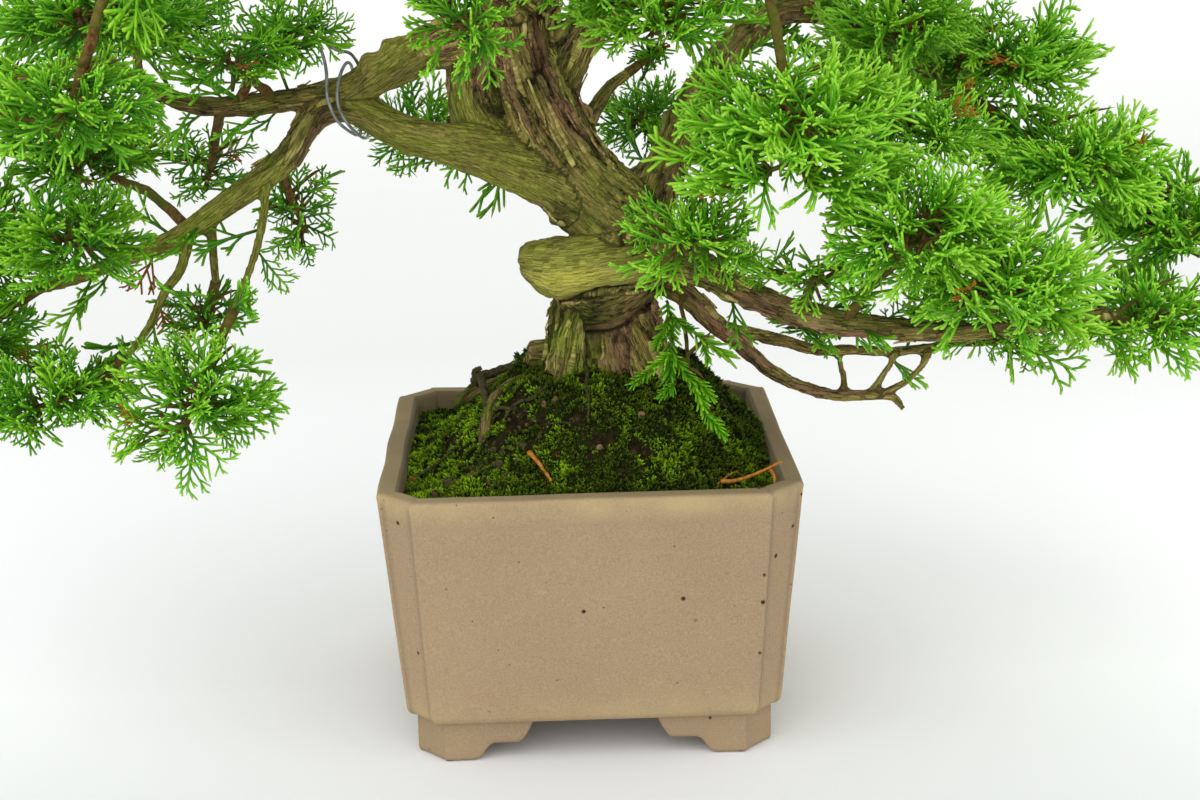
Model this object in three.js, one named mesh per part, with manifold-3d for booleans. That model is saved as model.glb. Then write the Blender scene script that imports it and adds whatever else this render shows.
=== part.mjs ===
// Chinese juniper bonsai: a fluted, many-branched trunk with leafy sprays, planted in a square
// unglazed clay pot. Millimetres, +Z up, the origin on the ground under the middle of the pot.
import * as THREE from "three";
import { mergeVertices } from "three/addons/utils/BufferGeometryUtils.js";
import Module from "manifold-3d";

const wasm = await Module();
wasm.setup();

// Driving dimensions
const GAP = 0.35; // between pieces that touch
const SLIVER = 0.02; // thinner facets are merged into their neighbours
const POT = {
  halfWidth: 77.5, // at the rim
  height: 106,
  feet: 15.5, // ground to the body's underside
  taper: 7.3, // the body's half width at the underside is this much less
  corner: 12.3, // cut off each corner, along each side
  recess: 1.5, // of the corner panel behind the two sides' ends
  edge: 3, // rounding under the body
  wall: 8,
  floor: 8,
  footInset: 3.4,
  footWall: 10,
  drainRadius: 12,
};
const FOOT = { toe: 12.8, curve: 4.5, ledge: 12, ledgeHeight: 6.6 }; // one foot's bracket, from the corner
const SOIL = { edge: 99, crown: 137, innerRadius: 28, outerRadius: 76, relief: 1.3 };
const SCREEN = { size: 34, thickness: 1.2, hole: 9, pitch: 13, rows: 2 };
const WIRE = { radius: 0.65, sides: 5, steps: 44 };
const CROWN = { halfWidth: 260, halfDepth: 165, top: 402 }; // the outline that the tips are pruned to
// A leafy shoot, and the side shoots on it
const SHOOT = { radius: 0.95, root: 0.45, taper: 0.5, fork: 1.7, lean: 0.72 };
const TWIG = { radius: 1.7, end: 1.3 };
const GOLDEN_ANGLE = Math.PI * (3 - Math.sqrt(5));

// The trunk and each branch: [x, y, z, radius] along it, from its root to its end
const WOOD = {
  trunk: [
    [6, 0, 84, 12], [8, 0, 108, 19], [8, 0, 131, 23], [8, 0, 142, 22], [8, 0, 153, 21], [9, 0, 164, 20],
    [14, 1, 178, 19], [15, 2, 189, 17.5], [4, 1, 203, 16], [-6, 0, 218, 15], [-14, 0, 235, 14.5],
    [-19, 3, 252, 14], [-20, 6, 271, 13], [-14, 8, 290, 12], [-2, 7, 309, 10.5], [6, 3, 328, 8.5],
    [4, 0, 346, 6.5], [-2, 0, 360, 4.5], [-4, 0, 371, 3],
  ],
  limb_left: [
    [-22, -2, 216, 9], [-35, 4, 227, 10.5], [-39, 8, 240, 10.5], [-36, 8, 253, 10.5], [-26, 7, 269, 9],
  ],
  limb_right: [
    [-11, 2, 237, 9], [-2, 4, 255, 9], [9, 10, 268, 8], [25, 18, 280, 7], [44, 22, 292, 6],
    [62, 20, 306, 4.5],
  ],
  knob: [
    [36, 2, 179, 8], [26, -6, 177, 10.5], [12, -10, 176, 11.5], [-4, -10, 175.5, 11.8],
    [-15, -9, 176, 11.2], [-21, -8, 177, 9.4], [-24, -8, 177, 5.5],
  ],
  upper_left: [
    [-27, 6, 264, 10], [-45, 4, 261, 9.5], [-60, 2, 256, 8.4], [-74, 0, 249, 7.4], [-87, -1, 242, 6.4],
    [-104, 0, 240, 4.8], [-123, 2, 238, 4.3], [-140, 4, 238, 4], [-155, 6, 242, 3.6], [-171, 8, 251, 3],
    [-188, 8, 257, 2.4],
  ],
  bare: [
    [7, 0, 197, 13], [-13, -5, 210, 11], [-34, -6, 219, 9], [-52, -5, 224, 7.6], [-67, -4, 228, 6.8],
    [-81, -2, 235, 6.4], [-93, -3, 237, 5.8], [-101, -4, 230, 5.5], [-108, -6, 220, 5.4],
    [-121, -8, 210, 5], [-137, -10, 200, 4.5], [-152, -12, 191, 3.8], [-169, -14, 185, 3.2],
    [-188, -16, 178, 2.6], [-207, -16, 173, 2.2],
  ],
  hang_a: [
    [-115, -8, 216, 2.2], [-117, -12, 207, 1.9], [-119, -18, 194, 1.8], [-122, -28, 183, 1.7],
    [-128, -42, 168, 1.6],
  ],
  hang_b: [[-138, -10, 199, 2.2], [-139, -8, 185, 2], [-139, -6, 172, 1.8]],
  hang_c: [
    [-146, -12, 193, 2.4], [-150, -16, 180, 2.2], [-156, -20, 172, 2], [-162, -24, 160, 1.8],
    [-172, -27, 148, 1.6],
  ],
  right_rear: [
    [23, 3, 184, 10], [29, 12, 197, 9], [36, 20, 211, 8.5], [44, 28, 226, 8], [53, 34, 241, 7.5],
    [65, 38, 255, 6.5], [82, 40, 265, 5.5], [104, 38, 262, 4.8], [128, 32, 249, 4], [150, 24, 232, 3.2],
    [170, 14, 218, 2.6],
  ],
  dead_stub: [[2, 4, 225, 4], [7, 8, 234, 3], [13, 14, 241, 2.6], [20, 20, 245, 2]],
  right_front: [
    [22, -4, 181, 8], [43, -25, 177, 6], [62, -42, 170, 5.5], [79, -54, 165, 5], [101, -62, 162, 4.5],
    [129, -66, 161, 4], [158, -66, 162, 3.4], [187, -60, 164, 2.8],
  ],
  right_low: [
    [24, 0, 171, 6], [40, -4, 162, 4.6], [48, -4, 153, 4], [57, -2, 145, 3.6], [66, 0, 136, 3.2],
    [74, 2, 129, 3], [84, 4, 123, 2.8], [98, 6, 118, 2.6], [111, 8, 117, 2.4], [122, 9, 116, 2.2],
    [127, 9, 110, 1.2],
  ],
  right_mid: [
    [54, -3, 149, 3], [67, 4, 144, 3], [79, 8, 140, 2.8], [92, 12, 135, 2.6], [108, 14, 134, 2.4],
    [126, 14, 133, 2.2], [144, 10, 136, 2],
  ],
  low_twig_a: [[102, 7, 117, 1.8], [103, 9, 124, 1.6], [101, 11, 131, 1.4]],
  low_twig_b: [[113, 8, 117, 1.8], [119, 10, 125, 1.6], [124, 12, 132, 1.4]],
  low_twig_c: [[116, 8, 116, 1.9], [129, 9, 123, 1.7], [137, 10, 132, 1.5]],
  back_left: [[0, 4, 208, 8], [-20, 30, 218, 6], [-38, 52, 217, 4.6], [-52, 67, 212, 3.4]],
  back_right: [[14, 6, 196, 8], [26, 36, 202, 6], [38, 64, 204, 4.6], [58, 84, 202, 3.4]],
  front_left: [
    [-21, 0, 272, 9], [-48, -34, 297, 7], [-88, -64, 304, 5.6], [-124, -80, 303, 4.4],
    [-150, -90, 297, 3.4],
  ],
  front_right: [[-14, 0, 279, 9], [10, -32, 299, 7], [40, -66, 303, 5.6], [62, -88, 296, 4.2]],
  crown_left: [[-14, 8, 288, 8], [-44, 22, 300, 6.6], [-82, 28, 302, 5.2], [-122, 26, 295, 3.8]],
  crown_right: [[-4, 7, 304, 8], [32, 2, 316, 6], [74, -8, 314, 4.8], [112, -16, 304, 3.4]],
  crown_front: [[0, 5, 316, 7], [-8, -30, 326, 5.4], [-10, -66, 322, 4.2], [-8, -96, 314, 3.2]],
  crown_back: [[-10, 8, 296, 7.5], [-4, 44, 302, 6], [4, 84, 294, 4.6], [6, 108, 284, 3.4]],
};
// Surface roots, from under the trunk to where they dive into the soil
const ROOTS = [
  [[-2, -2, 130, 8], [-20, -8, 130, 5], [-34, -17, 126, 3.6], [-38, -28, 117, 3.2], [-38, -36, 106, 2.6]],
  [[0, 8, 128, 8], [-22, 16, 128, 5.5], [-40, 26, 120, 4], [-52, 34, 109, 3]],
  [[16, -4, 126, 9], [28, -22, 123, 5.5], [38, -38, 110, 4], [44, -50, 98, 3]],
  [[18, 4, 128, 8], [38, 10, 124, 5.4], [54, 16, 111, 4], [63, 20, 100, 3]],
  [[8, 10, 128, 8], [14, 30, 126, 5.2], [20, 46, 116, 4], [24, 58, 104, 3]],
  [[2, 0, 136, 9], [-12, -2, 140, 5.6], [-22, -4, 141, 4.6]],
  [[-1, -12, 159, 5.5], [-4, -15, 150, 7], [-6, -16, 140, 8], [-9, -19, 126, 8]],
  [[17, -10, 158, 6.5], [21, -13, 147, 8], [25, -17, 136, 8.6], [30, -23, 124, 7]],
];
// Leafy sprays: the branch and the share of its length that each grows from, its middle, its half sizes
// along X, Y and Z, and how many shoots fork in it
const SPRAYS = {
  left_hang_front: ["hang_a", 0.98, [-141, -62, 139], [30, 28, 29], 5],
  left_low_outer: ["hang_c", 0.98, [-197, -34, 136], [30, 34, 20], 5],
  left_under: ["hang_b", 0.98, [-146, 4, 157], [22, 28, 12], 3],
  left_low_far: ["bare", 0.98, [-236, -8, 152], [30, 42, 23], 4],
  left_mid_outer: ["bare", 0.93, [-231, -26, 193], [38, 43, 24], 5],
  left_mid: ["bare", 0.84, [-180, -52, 199], [27, 38, 23], 4],
  left_mid_back: ["bare", 0.76, [-196, 52, 212], [36, 40, 20], 3],
  left_inner_low: ["bare", 0.6, [-108, 14, 193], [19, 28, 26], 3],
  left_inner: ["upper_left", 0.66, [-146, 40, 208], [24, 30, 17], 3],
  left_upper_outer: ["upper_left", 0.98, [-234, 10, 238], [36, 50, 22], 4],
  left_top: ["upper_left", 0.92, [-172, -42, 274], [37, 40, 20], 4],
  left_top_back: ["upper_left", 0.86, [-176, 72, 262], [38, 44, 20], 3],
  left_top_inner: ["upper_left", 0.63, [-106, -14, 264], [25, 34, 14], 3],
  left_front_inner: ["upper_left", 0.55, [-122, -40, 258], [28, 24, 13], 3],
  left_upper_front: ["front_left", 0.97, [-168, -98, 250], [33, 34, 20], 4],
  front_hang: ["front_left", 0.42, [-38, -112, 276], [20, 22, 23], 4],
  crown_front_left: ["front_left", 0.62, [-98, -104, 312], [36, 38, 20], 3],
  back_left: ["back_left", 0.97, [-63, 90, 214], [27, 32, 24], 3],
  back_middle: ["back_right", 0.6, [30, 94, 216], [24, 32, 20], 3],
  back_right: ["back_right", 0.97, [90, 92, 212], [30, 36, 21], 3],
  right_front_inner: ["right_front", 0.2, [37, -76, 198], [26, 30, 22], 5],
  right_front_high: ["front_right", 0.96, [69, -98, 235], [42, 40, 30], 5],
  right_front_top: ["front_right", 0.62, [27, -70, 273], [34, 30, 15], 3],
  front_middle: ["front_right", 0.4, [-2, -92, 292], [22, 30, 17], 4],
  right_front_mid: ["right_front", 0.52, [112, -94, 203], [34, 40, 26], 5],
  right_front_outer: ["right_front", 0.78, [141, -88, 182], [37, 42, 25], 5],
  right_front_low: ["right_front", 0.42, [78, -78, 184], [26, 28, 10], 3],
  right_outer_low: ["right_front", 0.97, [204, -44, 158], [32, 40, 19], 4],
  right_low_outer: ["right_mid", 0.97, [162, -8, 143], [24, 30, 12], 4],
  right_low_inner: ["right_mid", 0.5, [98, 20, 142], [24, 24, 10], 2],
  right_top_inner: ["right_rear", 0.62, [117, -4, 262], [30, 38, 18], 3],
  right_middle: ["right_rear", 0.66, [122, -34, 229], [30, 30, 18], 3],
  right_top: ["right_rear", 0.78, [163, 22, 246], [38, 48, 20], 4],
  right_outer_high: ["right_rear", 0.86, [183, -14, 211], [40, 46, 23], 4],
  right_outer: ["right_rear", 0.99, [231, -12, 184], [40, 46, 25], 4],
  right_back: ["right_rear", 0.7, [138, 88, 236], [38, 42, 20], 3],
  rear_hang: ["right_rear", 0.38, [47, 6, 231], [8, 10, 21], 2],
  base_shoot: ["right_low", 0.08, [38, -42, 142], [18, 15, 22], 4],
  stub_shoot: ["dead_stub", 0.97, [29, 23, 251], [9, 10, 8], 2],
  crown_left_outer: ["crown_left", 0.97, [-150, 14, 312], [40, 46, 22], 3],
  crown_left_inner: ["crown_left", 0.5, [-72, 14, 340], [36, 40, 20], 3],
  crown_left_back: ["crown_left", 0.7, [-96, 96, 300], [40, 44, 20], 3],
  crown_right_outer: ["crown_right", 0.97, [142, -22, 308], [38, 46, 22], 3],
  crown_right_inner: ["limb_right", 0.97, [78, 24, 342], [36, 42, 20], 3],
  crown_right_front: ["crown_right", 0.55, [66, -92, 316], [38, 40, 20], 3],
  crown_front: ["crown_front", 0.97, [-14, -128, 322], [36, 36, 20], 3],
  crown_front_upper: ["crown_front", 0.5, [-6, -56, 352], [36, 34, 19], 3],
  crown_back: ["crown_back", 0.97, [8, 128, 290], [40, 36, 20], 4],
  crown_back_right: ["crown_back", 0.55, [82, 88, 300], [38, 42, 20], 3],
  crown_back_upper: ["trunk", 0.84, [2, 56, 350], [38, 36, 19], 3],
  apex: ["trunk", 0.99, [-4, 0, 384], [40, 38, 18], 4],
};

// A seeded source of numbers from 0 to 1
function seeded(seed) {
  let state = seed | 0;
  return () => {
    state = (state + 0x6d2b79f5) | 0;
    let mixed = Math.imul(state ^ (state >>> 15), 1 | state);
    mixed = (mixed + Math.imul(mixed ^ (mixed >>> 7), 61 | mixed)) ^ mixed;
    return ((mixed ^ (mixed >>> 14)) >>> 0) / 4294967296;
  };
}

const vector = ([x, y, z]) => new THREE.Vector3(x, y, z);
const curveOf = (points) => new THREE.CatmullRomCurve3(points.map(vector), false, "catmullrom", 0.5);

// A closed geometry as a solid that can be joined and cut
function solid(geometry) {
  const bare = new THREE.BufferGeometry().setIndex(geometry.index);
  bare.setAttribute("position", geometry.getAttribute("position"));
  const merged = mergeVertices(bare, 1e-4);
  return new wasm.Manifold(
    new wasm.Mesh({
      numProp: 3,
      vertProperties: new Float32Array(merged.attributes.position.array),
      triVerts: new Uint32Array(merged.index.array),
    }),
  );
}

const joined = (solids) => solids.reduce((whole, next) => whole.add(next));

function meshOf(name, body, material) {
  const cut = body.simplify(SLIVER).getMesh();
  const position = new Float32Array(cut.numVert * 3);
  for (let i = 0; i < cut.numVert; i++)
    position.set(cut.vertProperties.subarray(i * cut.numProp, i * cut.numProp + 3), i * 3);
  const geometry = new THREE.BufferGeometry();
  geometry.setAttribute("position", new THREE.BufferAttribute(position, 3));
  geometry.setIndex(new THREE.BufferAttribute(new Uint32Array(cut.triVerts), 1));
  geometry.computeVertexNormals();
  const mesh = new THREE.Mesh(geometry, material);
  mesh.name = name;
  return mesh;
}

// A cylinder bent along a curve. radiusAt gives its radius for a share of its length and an angle
function bentCylinder(curve, steps, sides, radiusAt) {
  const geometry = new THREE.CylinderGeometry(1, 1, 1, sides, steps);
  const frames = curve.computeFrenetFrames(steps, false);
  const position = geometry.getAttribute("position");
  const at = new THREE.Vector3();
  for (let i = 0; i < position.count; i++) {
    at.fromBufferAttribute(position, i);
    const share = at.y + 0.5;
    const ring = Math.round(share * steps);
    const angle = Math.atan2(at.z, at.x);
    const radius = Math.hypot(at.x, at.z) * radiusAt(share, angle);
    const middle = curve.getPointAt(ring / steps);
    middle.addScaledVector(frames.normals[ring], -radius * Math.sin(angle));
    middle.addScaledVector(frames.binormals[ring], -radius * Math.cos(angle));
    position.setXYZ(i, middle.x, middle.y, middle.z);
  }
  return solid(geometry);
}

// The radius of a branch at a share of its length, from its waypoints
function radiusAlong(curve, points) {
  const lengths = curve.getLengths(200);
  const whole = lengths[200];
  const marks = points.map((_, i) => lengths[Math.round((200 * i) / (points.length - 1))] / whole);
  return (share) => {
    let i = 0;
    while (i < points.length - 2 && marks[i + 1] < share) i++;
    const mix = THREE.MathUtils.clamp((share - marks[i]) / (marks[i + 1] - marks[i]), 0, 1);
    return THREE.MathUtils.lerp(points[i][3], points[i + 1][3], mix);
  };
}

// Flutes wind up the thick wood, as the trunk's live veins do
function branch(points, extra = 0) {
  const curve = curveOf(points);
  const radius = radiusAlong(curve, points);
  const thick = Math.max(...points.map((p) => p[3]));
  const sides = thick > 12 ? 12 : thick > 11 ? 9 : thick > 7.5 ? 6 : thick > 5.5 ? 5 : 4;
  const steps = Math.max(2, Math.round(curve.getLength() / (thick > 12 ? 18 : thick > 11 ? 6 : 23)));
  const flute = thick > 12 ? 0.09 : thick > 7 ? 0.05 : 0;
  return bentCylinder(curve, steps, sides, (share, angle) => {
    const relief = Math.cos(3 * angle + 9 * share) + 0.6 * Math.cos(5 * angle - 7 * share);
    return radius(share) * (1 + flute * relief) + extra;
  });
}

const OUTSIDE = POT.corner / POT.halfWidth; // the corner's share of the half width
const INSIDE = (POT.corner - 0.586 * POT.wall) / (POT.halfWidth - POT.wall);

// The pot's outline in plan: a square whose cut corners are panels set back a little
function potOutline(half, cornerShare) {
  const corner = cornerShare * half;
  const recess = (POT.recess * half) / POT.halfWidth;
  const shape = new THREE.Shape();
  for (let side = 0; side < 4; side++) {
    const turn = (x, y) => {
      const at = new THREE.Vector2(x, y).rotateAround(new THREE.Vector2(), (side * Math.PI) / 2);
      return [at.x, at.y];
    };
    const start = turn(half - corner, -half);
    if (side) shape.lineTo(...start);
    else shape.moveTo(...start);
    shape.lineTo(...turn(half - corner, -half + recess));
    shape.lineTo(...turn(half - recess, -half + corner));
    shape.lineTo(...turn(half, -half + corner));
  }
  return shape;
}

// The outline raised from z0 to z1, its half width going from half0 to half1
function taperedPrism(half0, half1, z0, z1, cornerShare = OUTSIDE) {
  const shape = potOutline(half1, cornerShare);
  const geometry = new THREE.ExtrudeGeometry(shape, { depth: z1 - z0, bevelEnabled: false });
  const position = geometry.getAttribute("position");
  for (let i = 0; i < position.count; i++) {
    const scale = THREE.MathUtils.lerp(half0, half1, position.getZ(i) / (z1 - z0)) / half1;
    position.setXYZ(i, position.getX(i) * scale, position.getY(i) * scale, position.getZ(i) + z0);
  }
  geometry.deleteAttribute("normal");
  geometry.deleteAttribute("uv");
  return solid(geometry);
}

const halfAt = (z) => POT.halfWidth - (POT.taper * (POT.height - z)) / (POT.height - POT.feet);

// The opening between two feet, through the whole pot
function bracketCut() {
  const end = halfAt(POT.feet) - POT.footInset - POT.corner;
  const inner = end - FOOT.toe - 2 * FOOT.curve - FOOT.ledge;
  const ledge = inner + FOOT.curve + FOOT.ledge;
  const shape = new THREE.Shape();
  shape.moveTo(end - FOOT.toe, -1);
  shape.lineTo(end - FOOT.toe, 0);
  shape.quadraticCurveTo(ledge + 1, 0.8, ledge, FOOT.ledgeHeight);
  shape.lineTo(inner + FOOT.curve, FOOT.ledgeHeight);
  shape.quadraticCurveTo(inner + 1, FOOT.ledgeHeight + 1, inner, POT.feet);
  shape.lineTo(-inner, POT.feet);
  shape.quadraticCurveTo(-inner - 1, FOOT.ledgeHeight + 1, -inner - FOOT.curve, FOOT.ledgeHeight);
  shape.lineTo(-ledge, FOOT.ledgeHeight);
  shape.quadraticCurveTo(-ledge - 1, 0.8, -end + FOOT.toe, 0);
  shape.lineTo(-end + FOOT.toe, -1);
  const through = 2 * POT.halfWidth + 10;
  const options = { depth: through, bevelEnabled: false, curveSegments: 3 };
  const geometry = new THREE.ExtrudeGeometry(shape, options);
  return solid(geometry.translate(0, 0, -through / 2).rotateX(Math.PI / 2));
}

function potSolid() {
  const bottom = halfAt(POT.feet);
  const body = [
    taperedPrism(bottom - POT.edge, bottom - 0.3 * POT.edge, POT.feet, POT.feet + 0.4 * POT.edge),
    taperedPrism(
      bottom - 0.3 * POT.edge, halfAt(POT.feet + POT.edge),
      POT.feet + 0.4 * POT.edge, POT.feet + POT.edge,
    ),
    taperedPrism(halfAt(POT.feet + POT.edge), POT.halfWidth, POT.feet + POT.edge, POT.height),
  ];
  const foot = bottom - POT.footInset;
  const feetTop = POT.feet + 2;
  const feet = taperedPrism(foot, foot, 0, feetTop).subtract(
    taperedPrism(foot - POT.footWall, foot - POT.footWall, -1, feetTop + 1, INSIDE),
  );
  const cut = bracketCut();
  const floor = POT.feet + POT.floor;
  const over = POT.height + 1;
  const cavity = taperedPrism(halfAt(floor) - POT.wall, halfAt(over) - POT.wall, floor, over, INSIDE);
  const bore = new THREE.CylinderGeometry(POT.drainRadius, POT.drainRadius, 40, 24);
  const drain = solid(bore.rotateX(Math.PI / 2));
  const brackets = feet.subtract(cut).subtract(cut.rotate([0, 0, 90]));
  return joined([...body, brackets]).subtract(cavity).subtract(drain);
}

// The soil's height over a point: low at the pot's wall, heaped up to the trunk, and lumpy
function soilHeight(x, y) {
  const away = Math.hypot(x - 6, y);
  const ring = (away - SOIL.innerRadius) / (SOIL.outerRadius - SOIL.innerRadius);
  const share = THREE.MathUtils.clamp(ring, 0, 1);
  const heap = 1 - share * share * (3 - 2 * share);
  const lumps = Math.sin(x * 0.23 + 1) * Math.cos(y * 0.27) + 0.6 * Math.sin(x * 0.41 - y * 0.37);
  return SOIL.edge + (SOIL.crown - SOIL.edge) * heap + SOIL.relief * lumps * (1 - share * share);
}

function soilSolid() {
  const floor = POT.feet + POT.floor + SCREEN.thickness + 2 * GAP;
  const inside = (z) => halfAt(z) - POT.wall - GAP;
  const block = taperedPrism(inside(floor), inside(SOIL.crown + 4), floor, SOIL.crown + 4, INSIDE);
  const reach = POT.halfWidth;
  const cells = 9;
  const blanket = new THREE.BoxGeometry(2 * reach, 2 * reach, 60, cells, cells, 1);
  blanket.translate(0, 0, SOIL.crown + 10);
  const position = blanket.getAttribute("position");
  for (let i = 0; i < position.count; i++)
    if (position.getZ(i) < SOIL.crown) position.setZ(i, soilHeight(position.getX(i), position.getY(i)));
  const hollow = joined([branch(WOOD.trunk, GAP), ...ROOTS.map((root) => branch(root, GAP))]);
  return block.subtract(solid(blanket)).subtract(hollow).subtract(hollow.translate([0, 0, -GAP]));
}

// The plastic mesh over the drain hole
function screenSolid() {
  const plate = new THREE.BoxGeometry(SCREEN.size, SCREEN.size, SCREEN.thickness);
  let body = solid(plate);
  const middle = (SCREEN.rows - 1) / 2;
  for (let i = 0; i < SCREEN.rows; i++)
    for (let j = 0; j < SCREEN.rows; j++) {
      const hole = new THREE.BoxGeometry(SCREEN.hole, SCREEN.hole, 3 * SCREEN.thickness);
      hole.translate((i - middle) * SCREEN.pitch, (j - middle) * SCREEN.pitch, 0);
      body = body.subtract(solid(hole));
    }
  return body.translate([0, 0, POT.feet + POT.floor + GAP + SCREEN.thickness / 2]);
}

// The tie wire goes down the front of both branches, up behind them, and the same way a second time
const WIRE_ROUTE = [
  [-95, -6, 261], [-93, -10, 256], [-92, -13.4, 251], [-92.2, -14.4, 246], [-92, -14.4, 242],
  [-91, -13.6, 238], [-89.5, -12.4, 234], [-86.5, -9.6, 230], [-83, -4, 226.8], [-82, 3, 227.7],
  [-83, 9, 233], [-84.4, 11, 240], [-84.4, 9.6, 247], [-84.6, 4, 252], [-85.6, -4, 253.4],
  [-87, -11.4, 250.6], [-88.2, -14.2, 245.6], [-88.4, -14, 240], [-87, -12.4, 235], [-84, -8.8, 229.6],
  [-80.4, -3.2, 225.4], [-79.2, 3.8, 226.6], [-79, 9.8, 232.4], [-80.4, 11.2, 240], [-81, 9, 248],
  [-84, 2, 256], [-89, -5, 258.6], [-94, -3, 262],
];

function wireSolid() {
  const path = curveOf(WIRE_ROUTE);
  const circle = new THREE.EllipseCurve(0, 0, WIRE.radius, WIRE.radius);
  const section = new THREE.Shape(circle.getPoints(WIRE.sides).slice(0, WIRE.sides));
  const settings = { steps: WIRE.steps, extrudePath: path, bevelEnabled: false };
  return solid(new THREE.ExtrudeGeometry(section, settings));
}

// Where a spray's stalk leaves its branch, bends and ends
function stalkOf([from, share, middle, size]) {
  const points = WOOD[from];
  const root = curveOf(points).getPoint(share);
  const centre = vector(middle);
  const away = root.clone().sub(centre);
  const depth = Math.hypot(away.x / size[0], away.y / size[1], away.z / size[2]);
  const keep = Math.max(0.35, 0.72 * Math.min(1, depth)) / Math.max(depth, 0.4);
  const end = centre.clone().addScaledVector(away, Math.min(keep, 0.8));
  const bend = root.clone().lerp(end, 0.5);
  bend.z += 0.1 * root.distanceTo(end);
  return { root, bend, end, centre, size };
}

const quadratic = (a, b, c) => new THREE.QuadraticBezierCurve3(a, b, c);

// A spray's twig goes on from the stalk, through the middle of the room that the spray fills
function twigOf({ bend, end, centre }) {
  const onward = end.clone().sub(bend).normalize();
  const start = end.clone().addScaledVector(onward, GAP);
  const far = centre.clone().addScaledVector(centre.clone().sub(end), 0.5);
  return quadratic(start, start.clone().addScaledVector(onward, 0.4 * start.distanceTo(far)), far);
}

// The leafy shoots of a spray: from the twig out to the edge of the room, spread evenly all round
function shootsOf({ centre, size }, twig, count, random) {
  const shoots = [];
  for (let i = 0; i < count; i++) {
    const height = 0.96 - (1.6 * (i + 0.5)) / count;
    const round = Math.sqrt(1 - height * height);
    const angle = i * GOLDEN_ANGLE + 0.5 * random();
    const out = new THREE.Vector3(
      round * Math.cos(angle) * size[0], round * Math.sin(angle) * size[1], height * size[2],
    );
    const tip = centre.clone().addScaledVector(out, 0.98 + 0.16 * random());
    tip.x = THREE.MathUtils.clamp(tip.x, -CROWN.halfWidth, CROWN.halfWidth);
    tip.y = THREE.MathUtils.clamp(tip.y, -CROWN.halfDepth, CROWN.halfDepth);
    tip.z = Math.min(tip.z, CROWN.top);
    const root = twig.getPoint((i + 0.6) / (count + 0.2));
    const bend = root.clone().lerp(tip, 0.5);
    bend.z += (0.25 * random() - 0.05) * root.distanceTo(tip);
    shoots.push({ path: quadratic(root, bend, tip), roll: 2 * Math.PI * random() });
  }
  return shoots;
}

// A slim three-sided spike along a path. At each fork a side shoot grows out of two of its faces
function shootSolid({ path, roll }) {
  const length = path.getLength();
  const chord = path.getPoint(1).sub(path.getPoint(0)).normalize();
  const aside = new THREE.Vector3(-chord.y, chord.x, 0.001).normalize();
  const forks = length > 20 ? [0.3, 0.6] : [0.45];
  const marks = [0, ...forks.flatMap((at) => [at, at + SHOOT.fork / length])];
  const position = [];
  const triangles = [];
  const corner = (point) => position.push(point.x, point.y, point.z) / 3 - 1;
  const round = (mark, angle) => {
    const along = path.getTangent(mark);
    const normal = aside.clone().addScaledVector(along, -along.dot(aside)).normalize();
    const binormal = along.clone().cross(normal);
    return normal.multiplyScalar(Math.cos(angle + roll)).addScaledVector(binormal, Math.sin(angle + roll));
  };
  const third = (2 * Math.PI) / 3;
  const rings = marks.map((mark) => {
    const radius = mark ? SHOOT.radius * (1 - SHOOT.taper * mark) : SHOOT.root;
    const middle = path.getPoint(mark);
    return [0, 1, 2].map((side) => corner(middle.clone().addScaledVector(round(mark, side * third), radius)));
  });
  triangles.push(rings[0][0], rings[0][2], rings[0][1]);
  for (let ring = 0; ring < rings.length - 1; ring++)
    for (let side = 0; side < 3; side++) {
      const [a, b] = [rings[ring][side], rings[ring][(side + 1) % 3]];
      const [c, d] = [rings[ring + 1][side], rings[ring + 1][(side + 1) % 3]];
      const bare = ring % 2 === 0 || (side + ring) % 3 === 0;
      if (bare) {
        triangles.push(a, b, d, a, d, c);
        continue;
      }
      const mark = marks[ring + 1];
      const reach = (0.62 - 0.4 * mark) * length;
      const end = path.getPoint(mark).addScaledVector(round(mark, (side + 0.5) * third), reach * SHOOT.lean);
      end.addScaledVector(path.getTangent(mark), reach * Math.sqrt(1 - SHOOT.lean ** 2));
      end.x = THREE.MathUtils.clamp(end.x, -CROWN.halfWidth, CROWN.halfWidth);
      end.y = THREE.MathUtils.clamp(end.y, -CROWN.halfDepth, CROWN.halfDepth);
      end.z = Math.min(end.z, CROWN.top);
      const spike = corner(end);
      triangles.push(a, b, spike, b, d, spike, d, c, spike, c, a, spike);
    }
  const [a, b, c] = rings[rings.length - 1];
  const tip = corner(path.getPoint(1));
  triangles.push(a, b, tip, b, c, tip, c, a, tip);
  const geometry = new THREE.BufferGeometry().setIndex(triangles);
  geometry.setAttribute("position", new THREE.Float32BufferAttribute(position, 3));
  return solid(geometry);
}

// A shoot that would touch the wood or another spray is left out
function spraySolid(entry, random, others) {
  const stalk = stalkOf(entry);
  const twig = twigOf(stalk);
  const core = bentCylinder(twig, 2, 4, (share) => THREE.MathUtils.lerp(TWIG.radius, TWIG.end, share));
  const shoots = shootsOf(stalk, twig, entry[4], random).map(shootSolid);
  return joined([core, ...shoots.filter((shoot) => others.every((other) => shoot.minGap(other, 1) > GAP))]);
}

// The stalk grows on the branch, and its flat end meets the spray's twig
function stalkSolid(entry) {
  const { root, bend, end } = stalkOf(entry);
  const steps = root.distanceTo(end) > 30 ? 2 : 1;
  return bentCylinder(quadratic(root, bend, end), steps, 4, (share) =>
    THREE.MathUtils.lerp(TWIG.radius * 1.25, TWIG.radius, share),
  );
}

function woodSolid() {
  return joined([
    ...Object.values(WOOD).map((points) => branch(points)),
    ...ROOTS.map((points) => branch(points)),
    ...Object.values(SPRAYS).map(stalkSolid),
  ]);
}

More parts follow.
